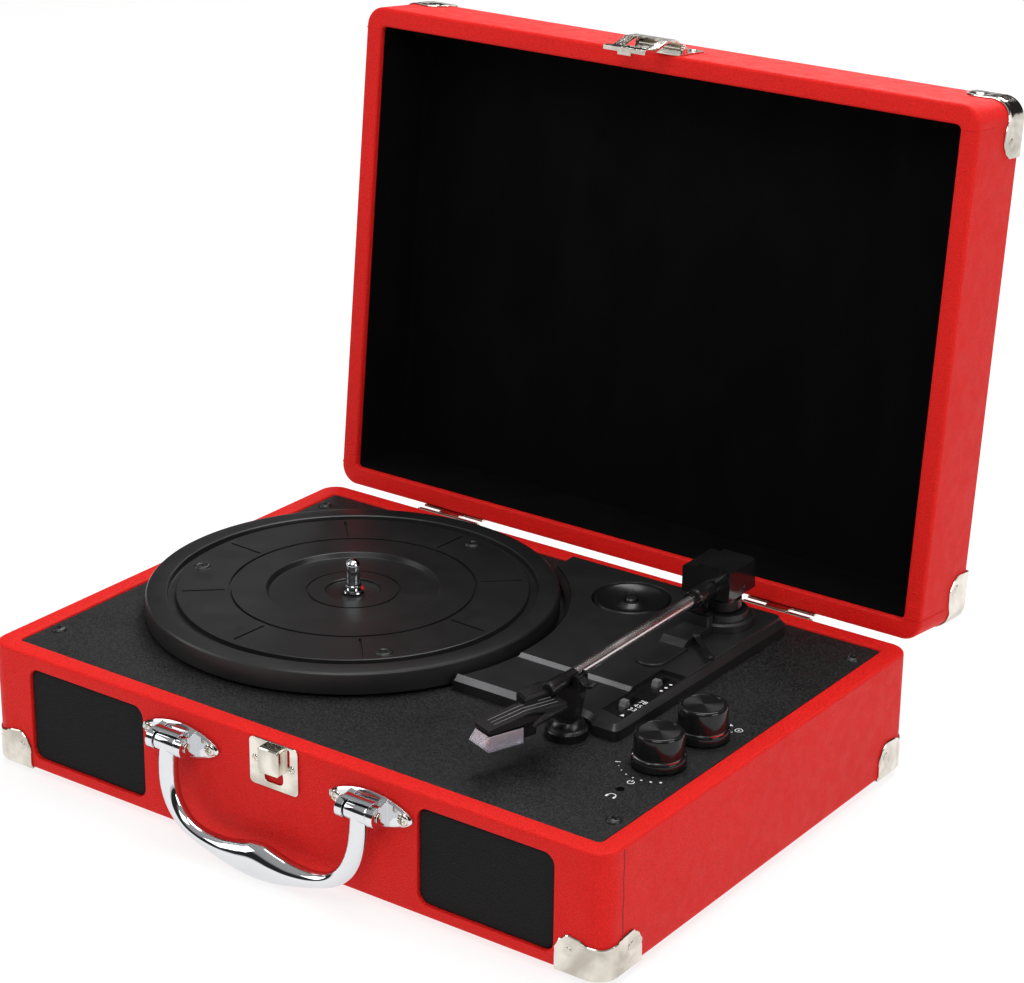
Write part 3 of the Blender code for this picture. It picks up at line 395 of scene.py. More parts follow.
class Paint:
    """A procedural material put together node by node, in the piece's own coordinates."""

    def __init__(self, name, roughness, metallic=0.0, **inputs):
        self.material = bpy.data.materials.new(name)
        self.material.use_nodes = True
        self.tree = self.material.node_tree
        self.shader = self.tree.nodes["Principled BSDF"]
        self.place = self.add("TexCoord").outputs["Object"]
        self.normal = None
        self.to("Roughness", roughness)
        self.to("Metallic", metallic)
        for key, value in inputs.items():
            self.to(key.replace("_", " "), value)

    def add(self, kind, inputs=None, **settings):
        node = self.tree.nodes.new("ShaderNode" + kind)
        for key, value in settings.items():
            setattr(node, key, value)
        for key, value in (inputs or {}).items():
            self.put(node.inputs[key], value)
        return node

    def put(self, socket, value):
        if isinstance(value, bpy.types.NodeSocket):
            self.tree.links.new(value, socket)
        elif isinstance(value, tuple) and len(socket.default_value) == 4:
            socket.default_value = (*value, 1.0)
        else:
            socket.default_value = value

    def to(self, name, value):
        self.put(self.shader.inputs[name], value)

    def spaced(self, size, stretch, centre):
        """Coordinates in units of a grain size given in millimetres."""
        scale = [1.0 / (MM * size * s) for s in stretch]
        shift = [-c * s for c, s in zip(centre, scale)]
        return self.add("Mapping", {"Vector": self.place, "Scale": scale, "Location": shift}).outputs[0]

    def noise(self, size, detail=2.0, stretch=EVEN, warp=0.0):
        where = self.spaced(size, stretch, ORIGIN)
        inputs = {"Vector": where, "Scale": 1.0, "Detail": detail, "Distortion": warp}
        return self.add("TexNoise", inputs).outputs[0]

    def cells(self, size, feature="DISTANCE_TO_EDGE"):
        """Irregular cells with crooked borders."""
        warp = 0.35
        where = self.spaced(size, EVEN, ORIGIN)
        bend = self.add("TexNoise", {"Vector": where, "Scale": 0.8, "Detail": 2.0}).outputs[1]
        mixed = self.add("Mix", data_type="RGBA", blend_type="LINEAR_LIGHT")
        self.put(mixed.inputs[0], warp)
        self.put(mixed.inputs[6], where)
        self.put(mixed.inputs[7], bend)
        inputs = {"Vector": mixed.outputs[2], "Scale": 1.0}
        return self.add("TexVoronoi", inputs, feature=feature).outputs["Distance"]

    def wave(self, size, direction, kind="BANDS", centre=ORIGIN):
        where = self.spaced(size * WAVES_PER_UNIT, EVEN, centre)
        settings = {"wave_type": kind, kind.lower() + "_direction": direction}
        return self.add("TexWave", {"Vector": where, "Scale": 1.0}, **settings).outputs[1]

    def ranged(self, value, low, high, start=0.0, end=1.0):
        inputs = {"Value": value, "From Min": start, "From Max": end, "To Min": low, "To Max": high}
        return self.add("MapRange", inputs).outputs[0]

    def sum(self, a, b, operation="ADD"):
        node = self.add("Math", operation=operation)
        self.put(node.inputs[0], a)
        self.put(node.inputs[1], b)
        return node.outputs[0]

    def mix(self, factor, a, b):
        node = self.add("Mix", data_type="RGBA")
        self.put(node.inputs[0], factor)
        self.put(node.inputs[6], a)
        self.put(node.inputs[7], b)
        return node.outputs[2]

    def tint(self, factor, a, b):
        self.to("Base Color", self.mix(factor, a, b))

    def rough(self, size, detail, low, high):
        """Roughness that drifts between two values over patches of a size in millimetres."""
        self.to("Roughness", self.ranged(self.noise(size, detail), low, high, 0.3, 0.7))

    def bump(self, height, depth, strength=1.0):
        """Depth is in millimetres."""
        node = self.add("Bump", {"Height": height, "Distance": depth * MM, "Strength": strength})
        if self.normal:
            self.put(node.inputs["Normal"], self.normal)
        self.normal = node.outputs["Normal"]
        self.to("Normal", self.normal)

    def grain(self, size, detail, depth, strength):
        self.bump(self.noise(size, detail), depth, strength)


def shade(colour, factor):
    return tuple(part * factor for part in colour)


def leatherette():
    p = Paint("leatherette", 0.5, Specular_IOR_Level=0.1)
    grain = p.cells(1.15)
    valley = p.ranged(grain, 0.0, 1.0, 0.0, 0.22)
    tone = p.noise(46.0, 3.0)
    base = p.mix(p.ranged(tone, 0.0, 1.0, 0.3, 0.7), shade(RED, 0.96), shade(RED, 1.04))
    # the grain's valleys are painted darker: a painted shade in the creases
    p.tint(valley, shade(RED, 0.8), base)
    p.rough(7.0, 4.0, 0.42, 0.58)
    p.grain(30.0, 2.0, 0.1, 0.15)
    p.bump(valley, 0.1, 0.9)
    p.grain(0.35, 3.0, 0.05, 0.6)
    return p.material


def seam_shadow():
    """The dark joint where two edges of the covering meet."""
    p = Paint("seam_shadow", 0.7)
    p.tint(p.noise(1.5, 3.0), (0.1, 0.004, 0.004), (0.22, 0.01, 0.009))
    p.grain(0.8, 2.0, 0.05, 0.6)
    return p.material


def deck_plastic():
    """Pressed grain, fine and even."""
    p = Paint("deck_plastic", 0.55, Specular_IOR_Level=0.3)
    grain = p.noise(0.8, 3.0)
    speckle = p.ranged(grain, 0.0, 1.0, 0.42, 0.66)
    p.tint(speckle, (0.0005, 0.0005, 0.0005), (0.022, 0.022, 0.0225))
    p.rough(30.0, 4.0, 0.46, 0.62)
    p.bump(grain, 0.2, 0.8)
    p.grain(1.3, 2.0, 0.1, 0.35)
    return p.material


def moulded_plastic(name, colour, roughness, grain):
    p = Paint(name, roughness)
    cloud = p.ranged(p.noise(24.0, 4.0), 0.0, 1.0, 0.3, 0.7)
    p.tint(cloud, shade(colour, 0.85), shade(colour, 1.25))
    p.rough(14.0, 3.0, roughness - 0.02, roughness + 0.04)
    p.grain(0.5, 2.0, grain, 0.5)
    return p.material


def gloss_plastic():
    p = Paint("gloss_plastic", 0.12, Specular_IOR_Level=0.32)
    p.tint(p.noise(12.0, 3.0), (0.006, 0.006, 0.006), (0.011, 0.011, 0.012))
    scratches = p.noise(0.7, 3.0, stretch=(1.0, 14.0, 6.0))
    p.to("Roughness", p.ranged(scratches, 0.08, 0.2, 0.45, 0.75))
    p.grain(7.0, 2.0, 0.05, 0.3)
    return p.material


def spun_black(knob):
    """A turned top: fine rings, and the two bright fans that rings throw, painted into the colour as a
    painted highlight.
    """
    p = Paint("spun_black_" + knob, 0.3, 0.7)
    low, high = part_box(knob)
    centre = ((low.x + high.x) / 2.0, (low.y + high.y) / 2.0, high.z)
    rings = p.wave(0.42, "Z", "RINGS", centre)
    away = p.add("VectorMath", {0: p.place, 1: centre}, operation="SUBTRACT").outputs[0]
    parts = p.add("SeparateXYZ", {0: away})
    angle = p.sum(parts.outputs[1], parts.outputs[0], "ARCTAN2")
    # the fans are a painted highlight: brighter along two opposite directions round the centre
    fans = p.ranged(p.sum(p.sum(angle, 2.0, "MULTIPLY"), 0.0, "COSINE"), 0.0, 1.0, -0.2, 1.0)
    dark = p.mix(rings, (0.012, 0.012, 0.012), (0.03, 0.03, 0.031))
    p.tint(fans, dark, (0.11, 0.11, 0.115))
    p.bump(rings, 0.02, 0.8)
    return p.material


def chrome():
    p = Paint("chrome", 0.06, 1.0)
    p.tint(p.noise(18.0, 3.0), (0.68, 0.69, 0.71), (0.76, 0.77, 0.79))
    p.to("Roughness", p.ranged(p.noise(6.0, 5.0, warp=0.8), 0.035, 0.13, 0.4, 0.75))
    p.grain(11.0, 2.0, 0.1, 0.25)
    return p.material


def nickel():
    """Warm plating, rolled sheet with a little wear; its colour is painted darker and lighter in
    patches, a painted reflection standing in for darker surroundings.
    """
    p = Paint("nickel", 0.2, 1.0)
    # darker and lighter patches of colour: a painted reflection
    patches = p.ranged(p.noise(16.0, 3.0, warp=0.4), 0.0, 1.0, 0.36, 0.62)
    p.tint(patches, (0.5, 0.46, 0.395), (0.8, 0.755, 0.68))
    streaks = p.noise(0.5, 4.0, stretch=(9.0, 9.0, 1.0))
    spots = p.noise(2.6, 4.0, warp=0.7)
    fine = p.ranged(streaks, 0.03, 0.08, 0.3, 0.7)
    p.to("Roughness", p.sum(fine, p.ranged(spots, 0.04, 0.12, 0.4, 0.75)))
    p.grain(3.5, 2.0, 0.16, 0.5)
    p.bump(streaks, 0.015, 0.5)
    return p.material


def aluminium():
    p = Paint("polished_aluminium", 0.24, 1.0)
    lines = p.noise(30.0, 3.0)
    p.tint(lines, (0.82, 0.79, 0.78), (0.93, 0.91, 0.9))
    p.to("Roughness", p.ranged(lines, 0.192, 0.312, 0.35, 0.7))
    p.bump(lines, 0.01, 0.3)
    return p.material


def steel():
    p = Paint("zinc_steel", 0.34, 1.0)
    p.tint(p.cells(3.0, "F1"), (0.42, 0.43, 0.44), (0.62, 0.62, 0.6))
    p.rough(3.0, 4.0, 0.26, 0.46)
    p.grain(1.2, 3.0, 0.03, 0.5)
    return p.material


def speaker_cloth():
    """A tight ribbed weave stretched over the frame."""
    p = Paint("speaker_cloth", 0.85, Specular_IOR_Level=0.25)
    ribs = p.wave(0.95, "Z")
    warp = p.wave(0.6, "X")
    weave = p.sum(ribs, warp, "MULTIPLY")
    both = p.sum(weave, ribs)
    depth = p.ranged(both, 0.0, 1.0, 0.0, 1.8)
    p.tint(depth, (0.002, 0.002, 0.002), (0.011, 0.011, 0.0115))
    p.bump(both, 0.18, 0.8)
    p.grain(0.3, 3.0, 0.05, 0.5)
    return p.material


def lining_cloth():
    """Short black flock."""
    p = Paint("lining_cloth", 0.97, Specular_IOR_Level=0.06)
    nap = p.noise(0.5, 4.0)
    brushed = p.noise(26.0, 3.0, stretch=(1.0, 1.0, 2.2), warp=0.5)
    tone = p.ranged(p.sum(nap, brushed, "MULTIPLY"), 0.0, 1.0, 0.1, 0.5)
    p.tint(tone, (0.001, 0.001, 0.001), (0.0035, 0.0035, 0.0037))
    p.bump(nap, 0.14, 0.8)
    p.grain(34.0, 2.0, 0.8, 0.35)
    return p.material


def rubber():
    p = Paint("rubber", 0.78)
    p.tint(p.noise(2.0, 4.0), (0.012, 0.012, 0.012), (0.026, 0.026, 0.025))
    p.rough(4.0, 3.0, 0.68, 0.88)
    p.grain(0.6, 3.0, 0.06, 0.6)
    return p.material


def clear_plastic():
    """The guard: milky lilac, pinker towards the top."""
    p = Paint("clear_plastic", 0.14, IOR=1.46, Transmission_Weight=0.78)
    low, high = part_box("stylus_guard")
    height = p.add("SeparateXYZ", {0: p.place}).outputs[2]
    lift = p.ranged(height, 0.0, 1.0, low.z, high.z)
    p.tint(lift, (0.86, 0.85, 0.99), (0.98, 0.84, 0.9))
    p.rough(2.0, 3.0, 0.1, 0.24)
    p.grain(2.4, 2.0, 0.05, 0.4)
    return p.material


def stylus_red():
    p = Paint("stylus_red", 0.3)
    p.tint(p.noise(1.5, 3.0), (0.6, 0.02, 0.03), (0.75, 0.04, 0.05))
    p.grain(0.6, 2.0, 0.02, 0.5)
    return p.material


def print_ink():
    p = Paint("print_ink", 0.6)
    p.tint(p.noise(0.5, 3.0), (0.55, 0.55, 0.55), (0.8, 0.8, 0.79))
    p.grain(0.3, 2.0, 0.02, 0.4)
    return p.material


def circuit_board():
    p = Paint("circuit_board", 0.4)
    tracks = p.sum(p.wave(2.4, "X"), p.wave(3.1, "Y"), "MULTIPLY")
    green = p.mix(p.noise(8.0, 3.0), (0.01, 0.09, 0.03), (0.02, 0.16, 0.06))
    p.tint(p.ranged(tracks, 0.0, 1.0, 0.4, 0.5), green, (0.03, 0.22, 0.08))
    p.bump(tracks, 0.05, 0.6)
    return p.material


def paper_cone():
    p = Paint("paper_cone", 0.8)
    p.tint(p.noise(1.2, 5.0), (0.015, 0.014, 0.013), (0.05, 0.047, 0.044))
    p.grain(0.9, 4.0, 0.12, 0.7)
    return p.material


def studio_floor():
    p = Paint("studio_floor", 0.9, Emission_Color=(1.0, 1.0, 1.0), Emission_Strength=0.8)
    p.tint(p.noise(300.0, 2.0), (0.2, 0.2, 0.2), (0.22, 0.22, 0.22))
    p.grain(2.0, 2.0, 0.02, 0.2)
    return p.material


LEATHER = leatherette()
SEAM = seam_shadow()
DECK_PAINT = deck_plastic()
SATIN = moulded_plastic("satin_plastic", (0.007, 0.007, 0.0075), 0.24, 0.012)
DISC = moulded_plastic("platter_plastic", (0.009, 0.009, 0.0095), 0.36, 0.02)
# a lighter grey, used on the switches and the head's ribs, and as a painted highlight on the board's
# bevels
EDGE = moulded_plastic("grey_and_painted_bevel_highlight", (0.13, 0.13, 0.135), 0.3, 0.01)
MOULDED = moulded_plastic("moulded_plastic", (0.012, 0.012, 0.0125), 0.34, 0.03)
GLOSS = gloss_plastic()
CHROME = chrome()
NICKEL = nickel()
ALUMINIUM = aluminium()
STEEL = steel()
CLOTH = speaker_cloth()
LINING = lining_cloth()
RUBBER = rubber()
CLEAR = clear_plastic()
INK = print_ink()


# ---- case


def wall_ring(wall, z, radius):
    return at_z(rect(-HALF + wall, HALF - wall, wall, DEPTH - wall, radius, 16), z)


def turned_edge(rings, outer, inner, low, high):
    """The rim of a box wall, from the outside over the top to the inside, with both edges rounded."""
    for wall, z in arc(EDGE_R, high - EDGE_R, EDGE_R, 180.0, 90.0, 6):
        rings.append((outer + wall, z, CORNER_R - wall))
    for wall, z in arc(inner - 1.3, high - 1.3, 1.3, 90.0, 0.0, 5):
        rings.append((wall, z, 2.6))
    rings.append((inner, low, 2.3))


def make_case():
    rings = [(wall, z, CORNER_R - wall) for wall, z in arc(1.5, 1.5, 1.5, 270.0, 180.0, 5)]
    turned_edge(rings, 0.0, RIM, DECK - 3.6, CASE_TOP)
    rings.append((RIM + 4.0, DECK - 3.6, 2.0))
    rings.append((RIM + 4.0, 5.0, 2.0))
    shape = loft([wall_ring(*ring) for ring in rings])
    cuts = []
    for side in SIDES:
        low, high = span("speaker_grille_" + side)
        hole = rect(low.x - 0.5, high.x + 0.5, low.z - 0.5, high.z + 0.5, 5.5, 10)
        cuts.append(loft([at_y(hole, -2.0), at_y(hole, RIM + 8.0)]))
    low, high = span("rear_jack_plate")
    hole = rect(low.x + 5.0, high.x - 5.0, low.z + 4.0, high.z - 4.0, 2.0, 4)
    cuts.append(loft([at_y(hole, DEPTH - 20.0), at_y(hole, DEPTH + 2.0)]))
    piece("case_cover", shape, LEATHER, "base", BASE, ["case_base"], 0.6, cuts=cuts)

    # where the covering is lapped, down each side near the front
    strips = []
    for sign in (-1.0, 1.0):
        path = []
        for k in range(11):
            path.append((sign * (HALF - 0.1), 13.0 + 0.25 * math.sin(k * 1.7), 17.5 + k * 4.1))
        strips.append(rope(path, 0.3, 8))
    piece("case_side_seams", joined(*strips), SEAM, "base")


def make_lid():
    rings = [(LID_RIM, LID_HIGH - 3.0, 2.6), (LID_RIM, LID_LOW + 1.3, 2.6)]
    for wall, z in arc(LID_RIM - 1.3, LID_LOW + 1.3, 1.3, 0.0, -90.0, 5)[1:]:
        rings.append((wall, z, 2.9))
    for wall, z in arc(EDGE_R, LID_LOW + EDGE_R, EDGE_R, 270.0, 180.0, 6):
        rings.append((wall, z, CORNER_R - wall))
    for wall, z in arc(2.4, LID_HIGH - 2.4, 2.4, 180.0, 90.0, 7):
        rings.append((wall, z, CORNER_R - wall))
    shape = loft([wall_ring(*ring) for ring in rings])
    piece("lid_cover", shape, LEATHER, "lid", LID, ["lid_shell"], 0.0)

    # a lap across the rim and down the side at each corner, and the small creases beside it
    ridges = []
    rng = random.Random(7)
    for sx in (-1.0, 1.0):
        for y0, sy in ((0.0, 1.0), (DEPTH, -1.0)):
            lap = y0 + sy * (CORNER_R + 1.2)
            path = [(sx * (HALF - LID_RIM + 0.8 + k), lap, LID_LOW - 0.06) for k in range(8)]
            for x, z in arc(0.0, 0.0, EDGE_R + 0.06, 80.0, 10.0, 4):
                path.append((sx * (HALF - EDGE_R + x), lap, LID_LOW + EDGE_R - z))
            for k in range(8):
                path.append((sx * (HALF + 0.06), lap + 0.1 * math.sin(k), LID_LOW + 3.0 + k * 3.1))
            ridges.append(rope(path, 0.34, 8))
            for j in range(3):
                y = y0 + sy * (16.0 + 6.0 * j + rng.random() * 2.0)
                drift = rng.uniform(-1.2, 1.2)
                path = []
                for k in range(8):
                    wall = 2.0 + (LID_RIM - 3.4) * k / 7
                    path.append((sx * (HALF - wall), y + drift * k / 7, LID_LOW + 0.06))
                ridges.append(rope(path, [0.06 + 0.4 * math.sin(math.pi * k / 7) for k in range(8)], 8))
    piece("lid_rim_laps", joined(*ridges), LEATHER, "lid", LID)

    # the cloth tray: walls, then a rounded fold into the flat back
    gap = 0.12
    rings = [wall_ring(LID_RIM + gap + 0.5, LID_LOW + 3.0, 2.2)]
    rings.append(wall_ring(LID_RIM + gap, LID_LOW + 3.2, 2.4))
    fold = 3.0
    top = LID_HIGH - 3.0 - gap
    for wall, z in arc(LID_RIM + gap + fold, top - fold, fold, 180.0, 90.0, 8):
        rings.append(wall_ring(wall, z, 2.4 + 0.5 * (wall - LID_RIM)))
    under = []
    for wall, z in arc(LID_RIM + gap + fold, top - fold, fold - 0.55, 90.0, 180.0, 8):
        under.append(wall_ring(wall, z, 2.2 + 0.5 * (wall - LID_RIM)))
    n = len(rings[0])
    outer_verts, outer_faces = loft(rings, caps=False)
    inner_verts, inner_faces = loft(under, caps=False)
    first = len(outer_verts)
    last = first + len(inner_verts) - n
    faces = outer_faces + [tuple(first + i for i in face) for face in inner_faces]
    faces.append(tuple(range(first - n, first)))
    faces.append(tuple(range(first, first + n)))
    faces += [(last + i, last + (i + 1) % n, (i + 1) % n, i) for i in range(n)]
    tray = (outer_verts + inner_verts, faces)
    piece("lid_lining_cloth", tray, LINING, "lid", LID, ["lid_lining"], angle=50.0)


# ---- corner guards


# (share of the guard's length, height of its top edge)
GUARD_TOP = ((0.0, 11.0), (0.05, 15.2), (0.13, 17.9), (0.23, 17.4), (0.36, 15.5), (0.5, 14.7))


def guard_height(t):
    """How far the guard reaches up at a share of its length, the same from either end."""
    t = min(t, 1.0 - t)
    for (t0, h0), (t1, h1) in zip(GUARD_TOP, GUARD_TOP[1:]):
        if t <= t1:
            return h0 + (h1 - h0) * soft_step(t, t0, t1)
    return GUARD_TOP[-1][1]


def corner_guard(sx, sy):
    """A pressed corner in the base's frame, before it is mirrored into place."""
    gap = 0.1
    sheet = 0.75
    under = -9.0
    cx = HALF - CORNER_R
    reach_x = 15.0
    reach_y = 17.0
    steps = 14

    def path(offset):
        r = CORNER_R + offset
        points = [(cx - reach_x * k / steps, CORNER_R - r) for k in range(steps, 0, -1)]
        points += arc(cx, CORNER_R, r, 270.0, 360.0, 18)
        points += [(cx + r, CORNER_R + reach_y * k / steps) for k in range(1, steps + 1)]
        return points

    levels = 16
    back = path(gap)
    face = path(gap + sheet)
    n = len(back)
    heights = [guard_height(i / (n - 1)) for i in range(n)]
    seats = []
    for t in (0.14, 0.86):
        i = round(t * (n - 1))
        seats.append((Vector(back[i]), heights[i] * 0.56))
    rows = [at_z(path(under), -gap), at_z(back, -gap)]
    rows.append([(x, y, height - 0.25) for (x, y), height in zip(back, heights)])
    rows.append([(x, y, height) for (x, y), height in zip(path(gap + 0.4), heights)])
    # the face: a line pressed along the top edge, a crease beside the bend, a seat round each rivet
    for k in range(levels, -1, -1):
        row = []
        for i in range(n):
            t = i / (n - 1)
            z = 0.7 + (heights[i] - 1.1) * k / levels
            press = -0.3 * hump(heights[i] - z, 2.6, 0.8)
            press -= 0.22 * hump(abs(t - 0.5), 0.2, 0.018) * soft_step(z, 3.0, 8.0)
            inner = Vector(back[i])
            for spot, height in seats:
                away = math.hypot((inner - spot).length, z - height)
                press -= 0.5 * (1.0 - soft_step(away, 2.6, 3.9))
            outer = Vector(face[i])
            skin = inner + (outer - inner) * (1.0 + max(press, -0.55) / sheet)
            row.append((skin.x, skin.y, z))
        rows.append(row)
    for offset, z in ((0.7, 0.2), (0.45, -0.35), (0.1, -0.72)):
        rows.append(at_z(path(gap + offset), z))
    rows.append(at_z(path(under), -0.85))
    shape = loft(rows, closed=True, caps=False, around=False)
    for end in (0, n - 1):
        shape[1].append(tuple(k * n + end for k in range(len(rows))))
    rivets = []
    for (spot, height), out in zip(seats, (Vector((0.0, -1.0)), Vector((1.0, 0.0)))):
        seat = spot + out * 0.2
        rivets.append(dome((seat.x, seat.y, height), (out.x, out.y, 0.0), 2.3, 0.54))
    verts, faces = joined(shape, *rivets)
    return [(x * sx, y if sy < 0 else DEPTH - y, z) for x, y, z in verts], faces


def make_corners():
    for side, sx in zip(SIDES, (-1.0, 1.0)):
        for end, sy in zip(ENDS, (-1.0, 1.0)):
            name = end + "_" + side
            shape = corner_guard(sx, sy)
            upper = ([(x, y, LID_HIGH - z) for x, y, z in shape[0]], shape[1])
            for body, form, matrix in (("base", shape, BASE), ("lid", upper, LID)):
                node = body + "_corner_" + name
                piece(body + "_guard_" + name, form, NICKEL, body, matrix, [node])


# ---- front and back


def heads_of(name, heads, paint=NICKEL, body="base", matrix=BASE):
    """Screw and rivet heads as one piece."""
    piece(name, joined(*heads), paint, body, matrix, angle=50.0)


def make_grilles():
    for side in SIDES:
        node = "speaker_grille_" + side
        low, high = span(node)
        spot = middle(node)
        half = high - spot
        steps = 12
        rows = []
        for k in range(steps + 1):
            t = 0.5 * math.pi * k / steps
            bulge = 0.85 * math.cos(t) ** 0.6 if k < steps else 0.0
            rows.append((0.02 + 0.98 * math.sin(t), low.y + 0.9 - bulge))
        rows.append((1.0, high.y))
        rings = []
        for wide, y in rows:
            x = half.x * wide
            z = half.z * wide
            rings.append(at_y(rect(spot.x - x, spot.x + x, spot.z - z, spot.z + z, 5.2 * wide), y))
        name = "speaker_cloth_" + side
        piece(name, loft(rings), CLOTH, "base", BASE, [node], angle=70.0)


def make_handle():
    half = [
        (55.0, 0.0, 8.8, 8.6),
        (55.2, 10.0, 9.2, 8.8),
        (53.8, 20.0, 9.0, 8.8),
        (49.8, 28.8, 8.2, 8.4),
        (42.8, 35.6, 7.4, 8.2),
        (33.0, 39.2, 7.4, 8.8),
        (21.0, 41.0, 10.4, 10.4),
        (10.0, 41.2, 14.6, 12.0),
        (0.0, 40.6, 17.2, 12.5),
    ]
    rows = smooth([(-x, s, w, d) for x, s, w, d in half] + half[-2::-1], 8)
    sections = []
    for k, (x, s, w, d) in enumerate(rows):
        before = rows[max(k - 1, 0)]
        after = rows[min(k + 1, len(rows) - 1)]
        run = Vector((after[0] - before[0], after[1] - before[1])).normalized()
        across = Vector((-run.y, run.x))
        ring = []
        for u, v in circle(0.0, 0.0, 0.5, 32):
            ring.append((x + across.x * w * u, HANDLE.y + d * v, HANDLE.z - s - across.y * w * u))
        sections.append(ring)
    shapes = [loft(sections)]
    for cx in (middle("handle_mount_left").x, middle("handle_mount_right").x):
        profile = arc(cx - 5.0, 3.5, 1.1, 180.0, 90.0, 4) + arc(cx + 5.0, 3.5, 1.1, 90.0, 0.0, 4)
        profile = [(1.95, cx - 6.1)] + [(r, h) for h, r in profile] + [(1.95, cx + 6.1)]
        shapes.append(lathe(profile, (HANDLE.y, HANDLE.z), "x", 40, True))
    tilted = swung(HANDLE, -HANDLE_TILT, "X")
    bail = joined(*shapes)
    piece("handle_bail", bail, CHROME, "handle", tilted, ["handle"], angle=60.0)
    for side in SIDES:
        refined("handle_mount_" + side, CHROME, 0.45)
        cx = middle("handle_mount_" + side).x
        heads = []
        for k, x in enumerate((-18.4, 18.4)):
            heads.append(screw((cx + x, -1.9, HANDLE.z - 0.8), FORWARD, 3.1, 1.5, 0.3 + k))
        for x in (-10.4, 10.4):
            heads.append(dome((cx + x, HANDLE.y, HANDLE.z), (x, 0.0, 0.0), 2.4, 0.7))
        heads_of("handle_screws_" + side, heads, NICKEL, "base", BASE)


def make_latch():
    plate = rect(-13.9, 13.9, 36.2, 59.2, 2.4, 6)
    slot = rect(-5.4, 5.4, 39.2, 46.0, 2.4, 6)
    slit = rect(8.0, 9.4, 49.5, 58.0, 0.6, 4)
    cuts = [loft([at_y(hole, -2.0), at_y(hole, 1.0)]) for hole in (slot, slit)]
    shape = loft([at_y(plate, -0.1), at_y(plate, -0.9)])
    node = ["latch_keeper"]
    piece("keeper_plate", shape, NICKEL, "base", BASE, node, 0.2, cuts=cuts)
    front = [(-6.0, 45.9), (-5.0, 44.7), (5.0, 44.7), (6.0, 45.9)]
    front += [(6.0, 56.6), (5.2, 57.4), (-5.2, 57.4), (-6.0, 56.6)]
    rings = [at_y(front, -0.6), at_y(front, -4.4), at_y(inset(front, 0.6), -5.0)]
    inner = [(x * 0.8, z - 1.2) for x, z in front]
    hollow = [loft([at_y(inner, -0.3), at_y(inner, -4.0)])]
    piece("keeper_box", loft(rings), NICKEL, "base", bevel=0.25, cuts=hollow)
    refined("latch_plate", NICKEL, 0.16)
    refined("latch_lever", NICKEL, 0.3)
    keeper = [screw((x, -0.85, 49.0), FORWARD, 1.9, 0.8, x) for x in (-10.4, 10.4)]
    heads_of("keeper_screws", keeper)
    lid = []
    for x in (-9.6, 9.6):
        lid.append(screw((x, -0.85, LID_LOW + 20.5), FORWARD, 1.9, 0.8, x + 1.0))
    lid += [dome((x, -3.3, 66.7), (x, 0.0, 0.0), 1.3, 0.5) for x in (-13.9, 13.9)]
    heads_of("latch_plate_screws", lid, NICKEL, "lid", LID)


def make_hinges():
    for side in SIDES:
        for node in ("hinge_base_leaf_", "hinge_lid_leaf_", "hinge_pin_"):
            refined(node + side, NICKEL, 0.2)
        cx = middle("hinge_pin_" + side).x
        back = span("hinge_base_leaf_" + side)[0].y + 1.0
        low = []
        high = []
        for x in (-14.0, 0.0, 14.0):
            low.append(screw((cx + x, back, 46.4), BACKWARD, 2.1, 0.8, x))
            high.append(screw((cx + x, back, 68.6), BACKWARD, 2.1, 0.8, x + 0.7))
        heads_of("hinge_base_screws_" + side, low)
        heads_of("hinge_lid_screws_" + side, high, NICKEL, "lid", LID)


def make_back():
    refined("rear_jack_plate", MOULDED, 0.3)
    refined("power_inlet", GLOSS, 0.2)
    low, high = span("rear_jack_plate")
    heads = []
    for x in (low.x + 3.0, high.x - 3.0):
        heads.append(screw((x, low.y + 1.5, 30.0), BACKWARD, 1.9, 0.8, x))
    heads_of("rear_plate_screws", heads, STEEL, "base", BASE)
    rings = []
    for x in (-23.0, -11.0):
        section = ((4.55, 2.6), (4.75, 2.95), (4.3, 3.1), (3.6, 3.0), (3.6, 2.2))
        profile = [(radius, low.y + y) for radius, y in section]
        rings.append(lathe(profile, (x, 30.0), "y", 40, True))
    piece("line_socket_rings", joined(*rings), ALUMINIUM, "base")
    for end in ENDS:
        for side in SIDES:
            name = end + "_" + side
            spot = middle("foot_" + name).xy
            profile = [(0.0, -4.5), (3.8, -4.5), (4.4, -4.0), (5.0, -4.5), (6.6, -4.5)]
            profile += [(7.4, -4.2), (7.8, -3.4), (8.5, -0.1), (0.0, -0.1)]
            foot = lathe(profile, spot, "z", 48)
            piece("foot_pad_" + name, foot, RUBBER, "base", BASE, ["foot_" + name])


# ---- deck


def make_deck():
    refined("deck_panel", DECK_PAINT, 0.25)
    heads = []
    for sx in (-1.0, 1.0):
        for y in (30.0, 231.0):
            heads.append(screw((sx * 160.5, y, DECK - 0.1), (0.0, 0.0, 1.0), 3.7, 1.9, sx + y))
    heads_of("deck_screws", heads, DISC, "base", BASE)


def printed(points, z):
    """A flat mark, just proud of the surface."""
    return loft([at_z(points, z - 0.05), at_z(points, z + 0.03)])


def stroke(points, width, z):
    """A flat printed line."""
    ring = []
    for side in (1.0, -1.0):
        row = points if side > 0 else points[::-1]
        for k, point in enumerate(row):
            run = Vector(row[min(k + 1, len(row) - 1)]) - Vector(row[max(k - 1, 0)])
            off = Vector((-run.y, run.x)).normalized() * width / 2.0
            ring.append((point[0] + off.x, point[1] + off.y))
    return printed(ring, z)


def around(cx, cy, radius, degrees):
    angle = math.radians(degrees)
    return cx + radius * math.cos(angle), cy + radius * math.sin(angle)


def dot(cx, cy, radius, z):
    return printed(arc(cx, cy, radius, 0.0, 330.0, 11), z)


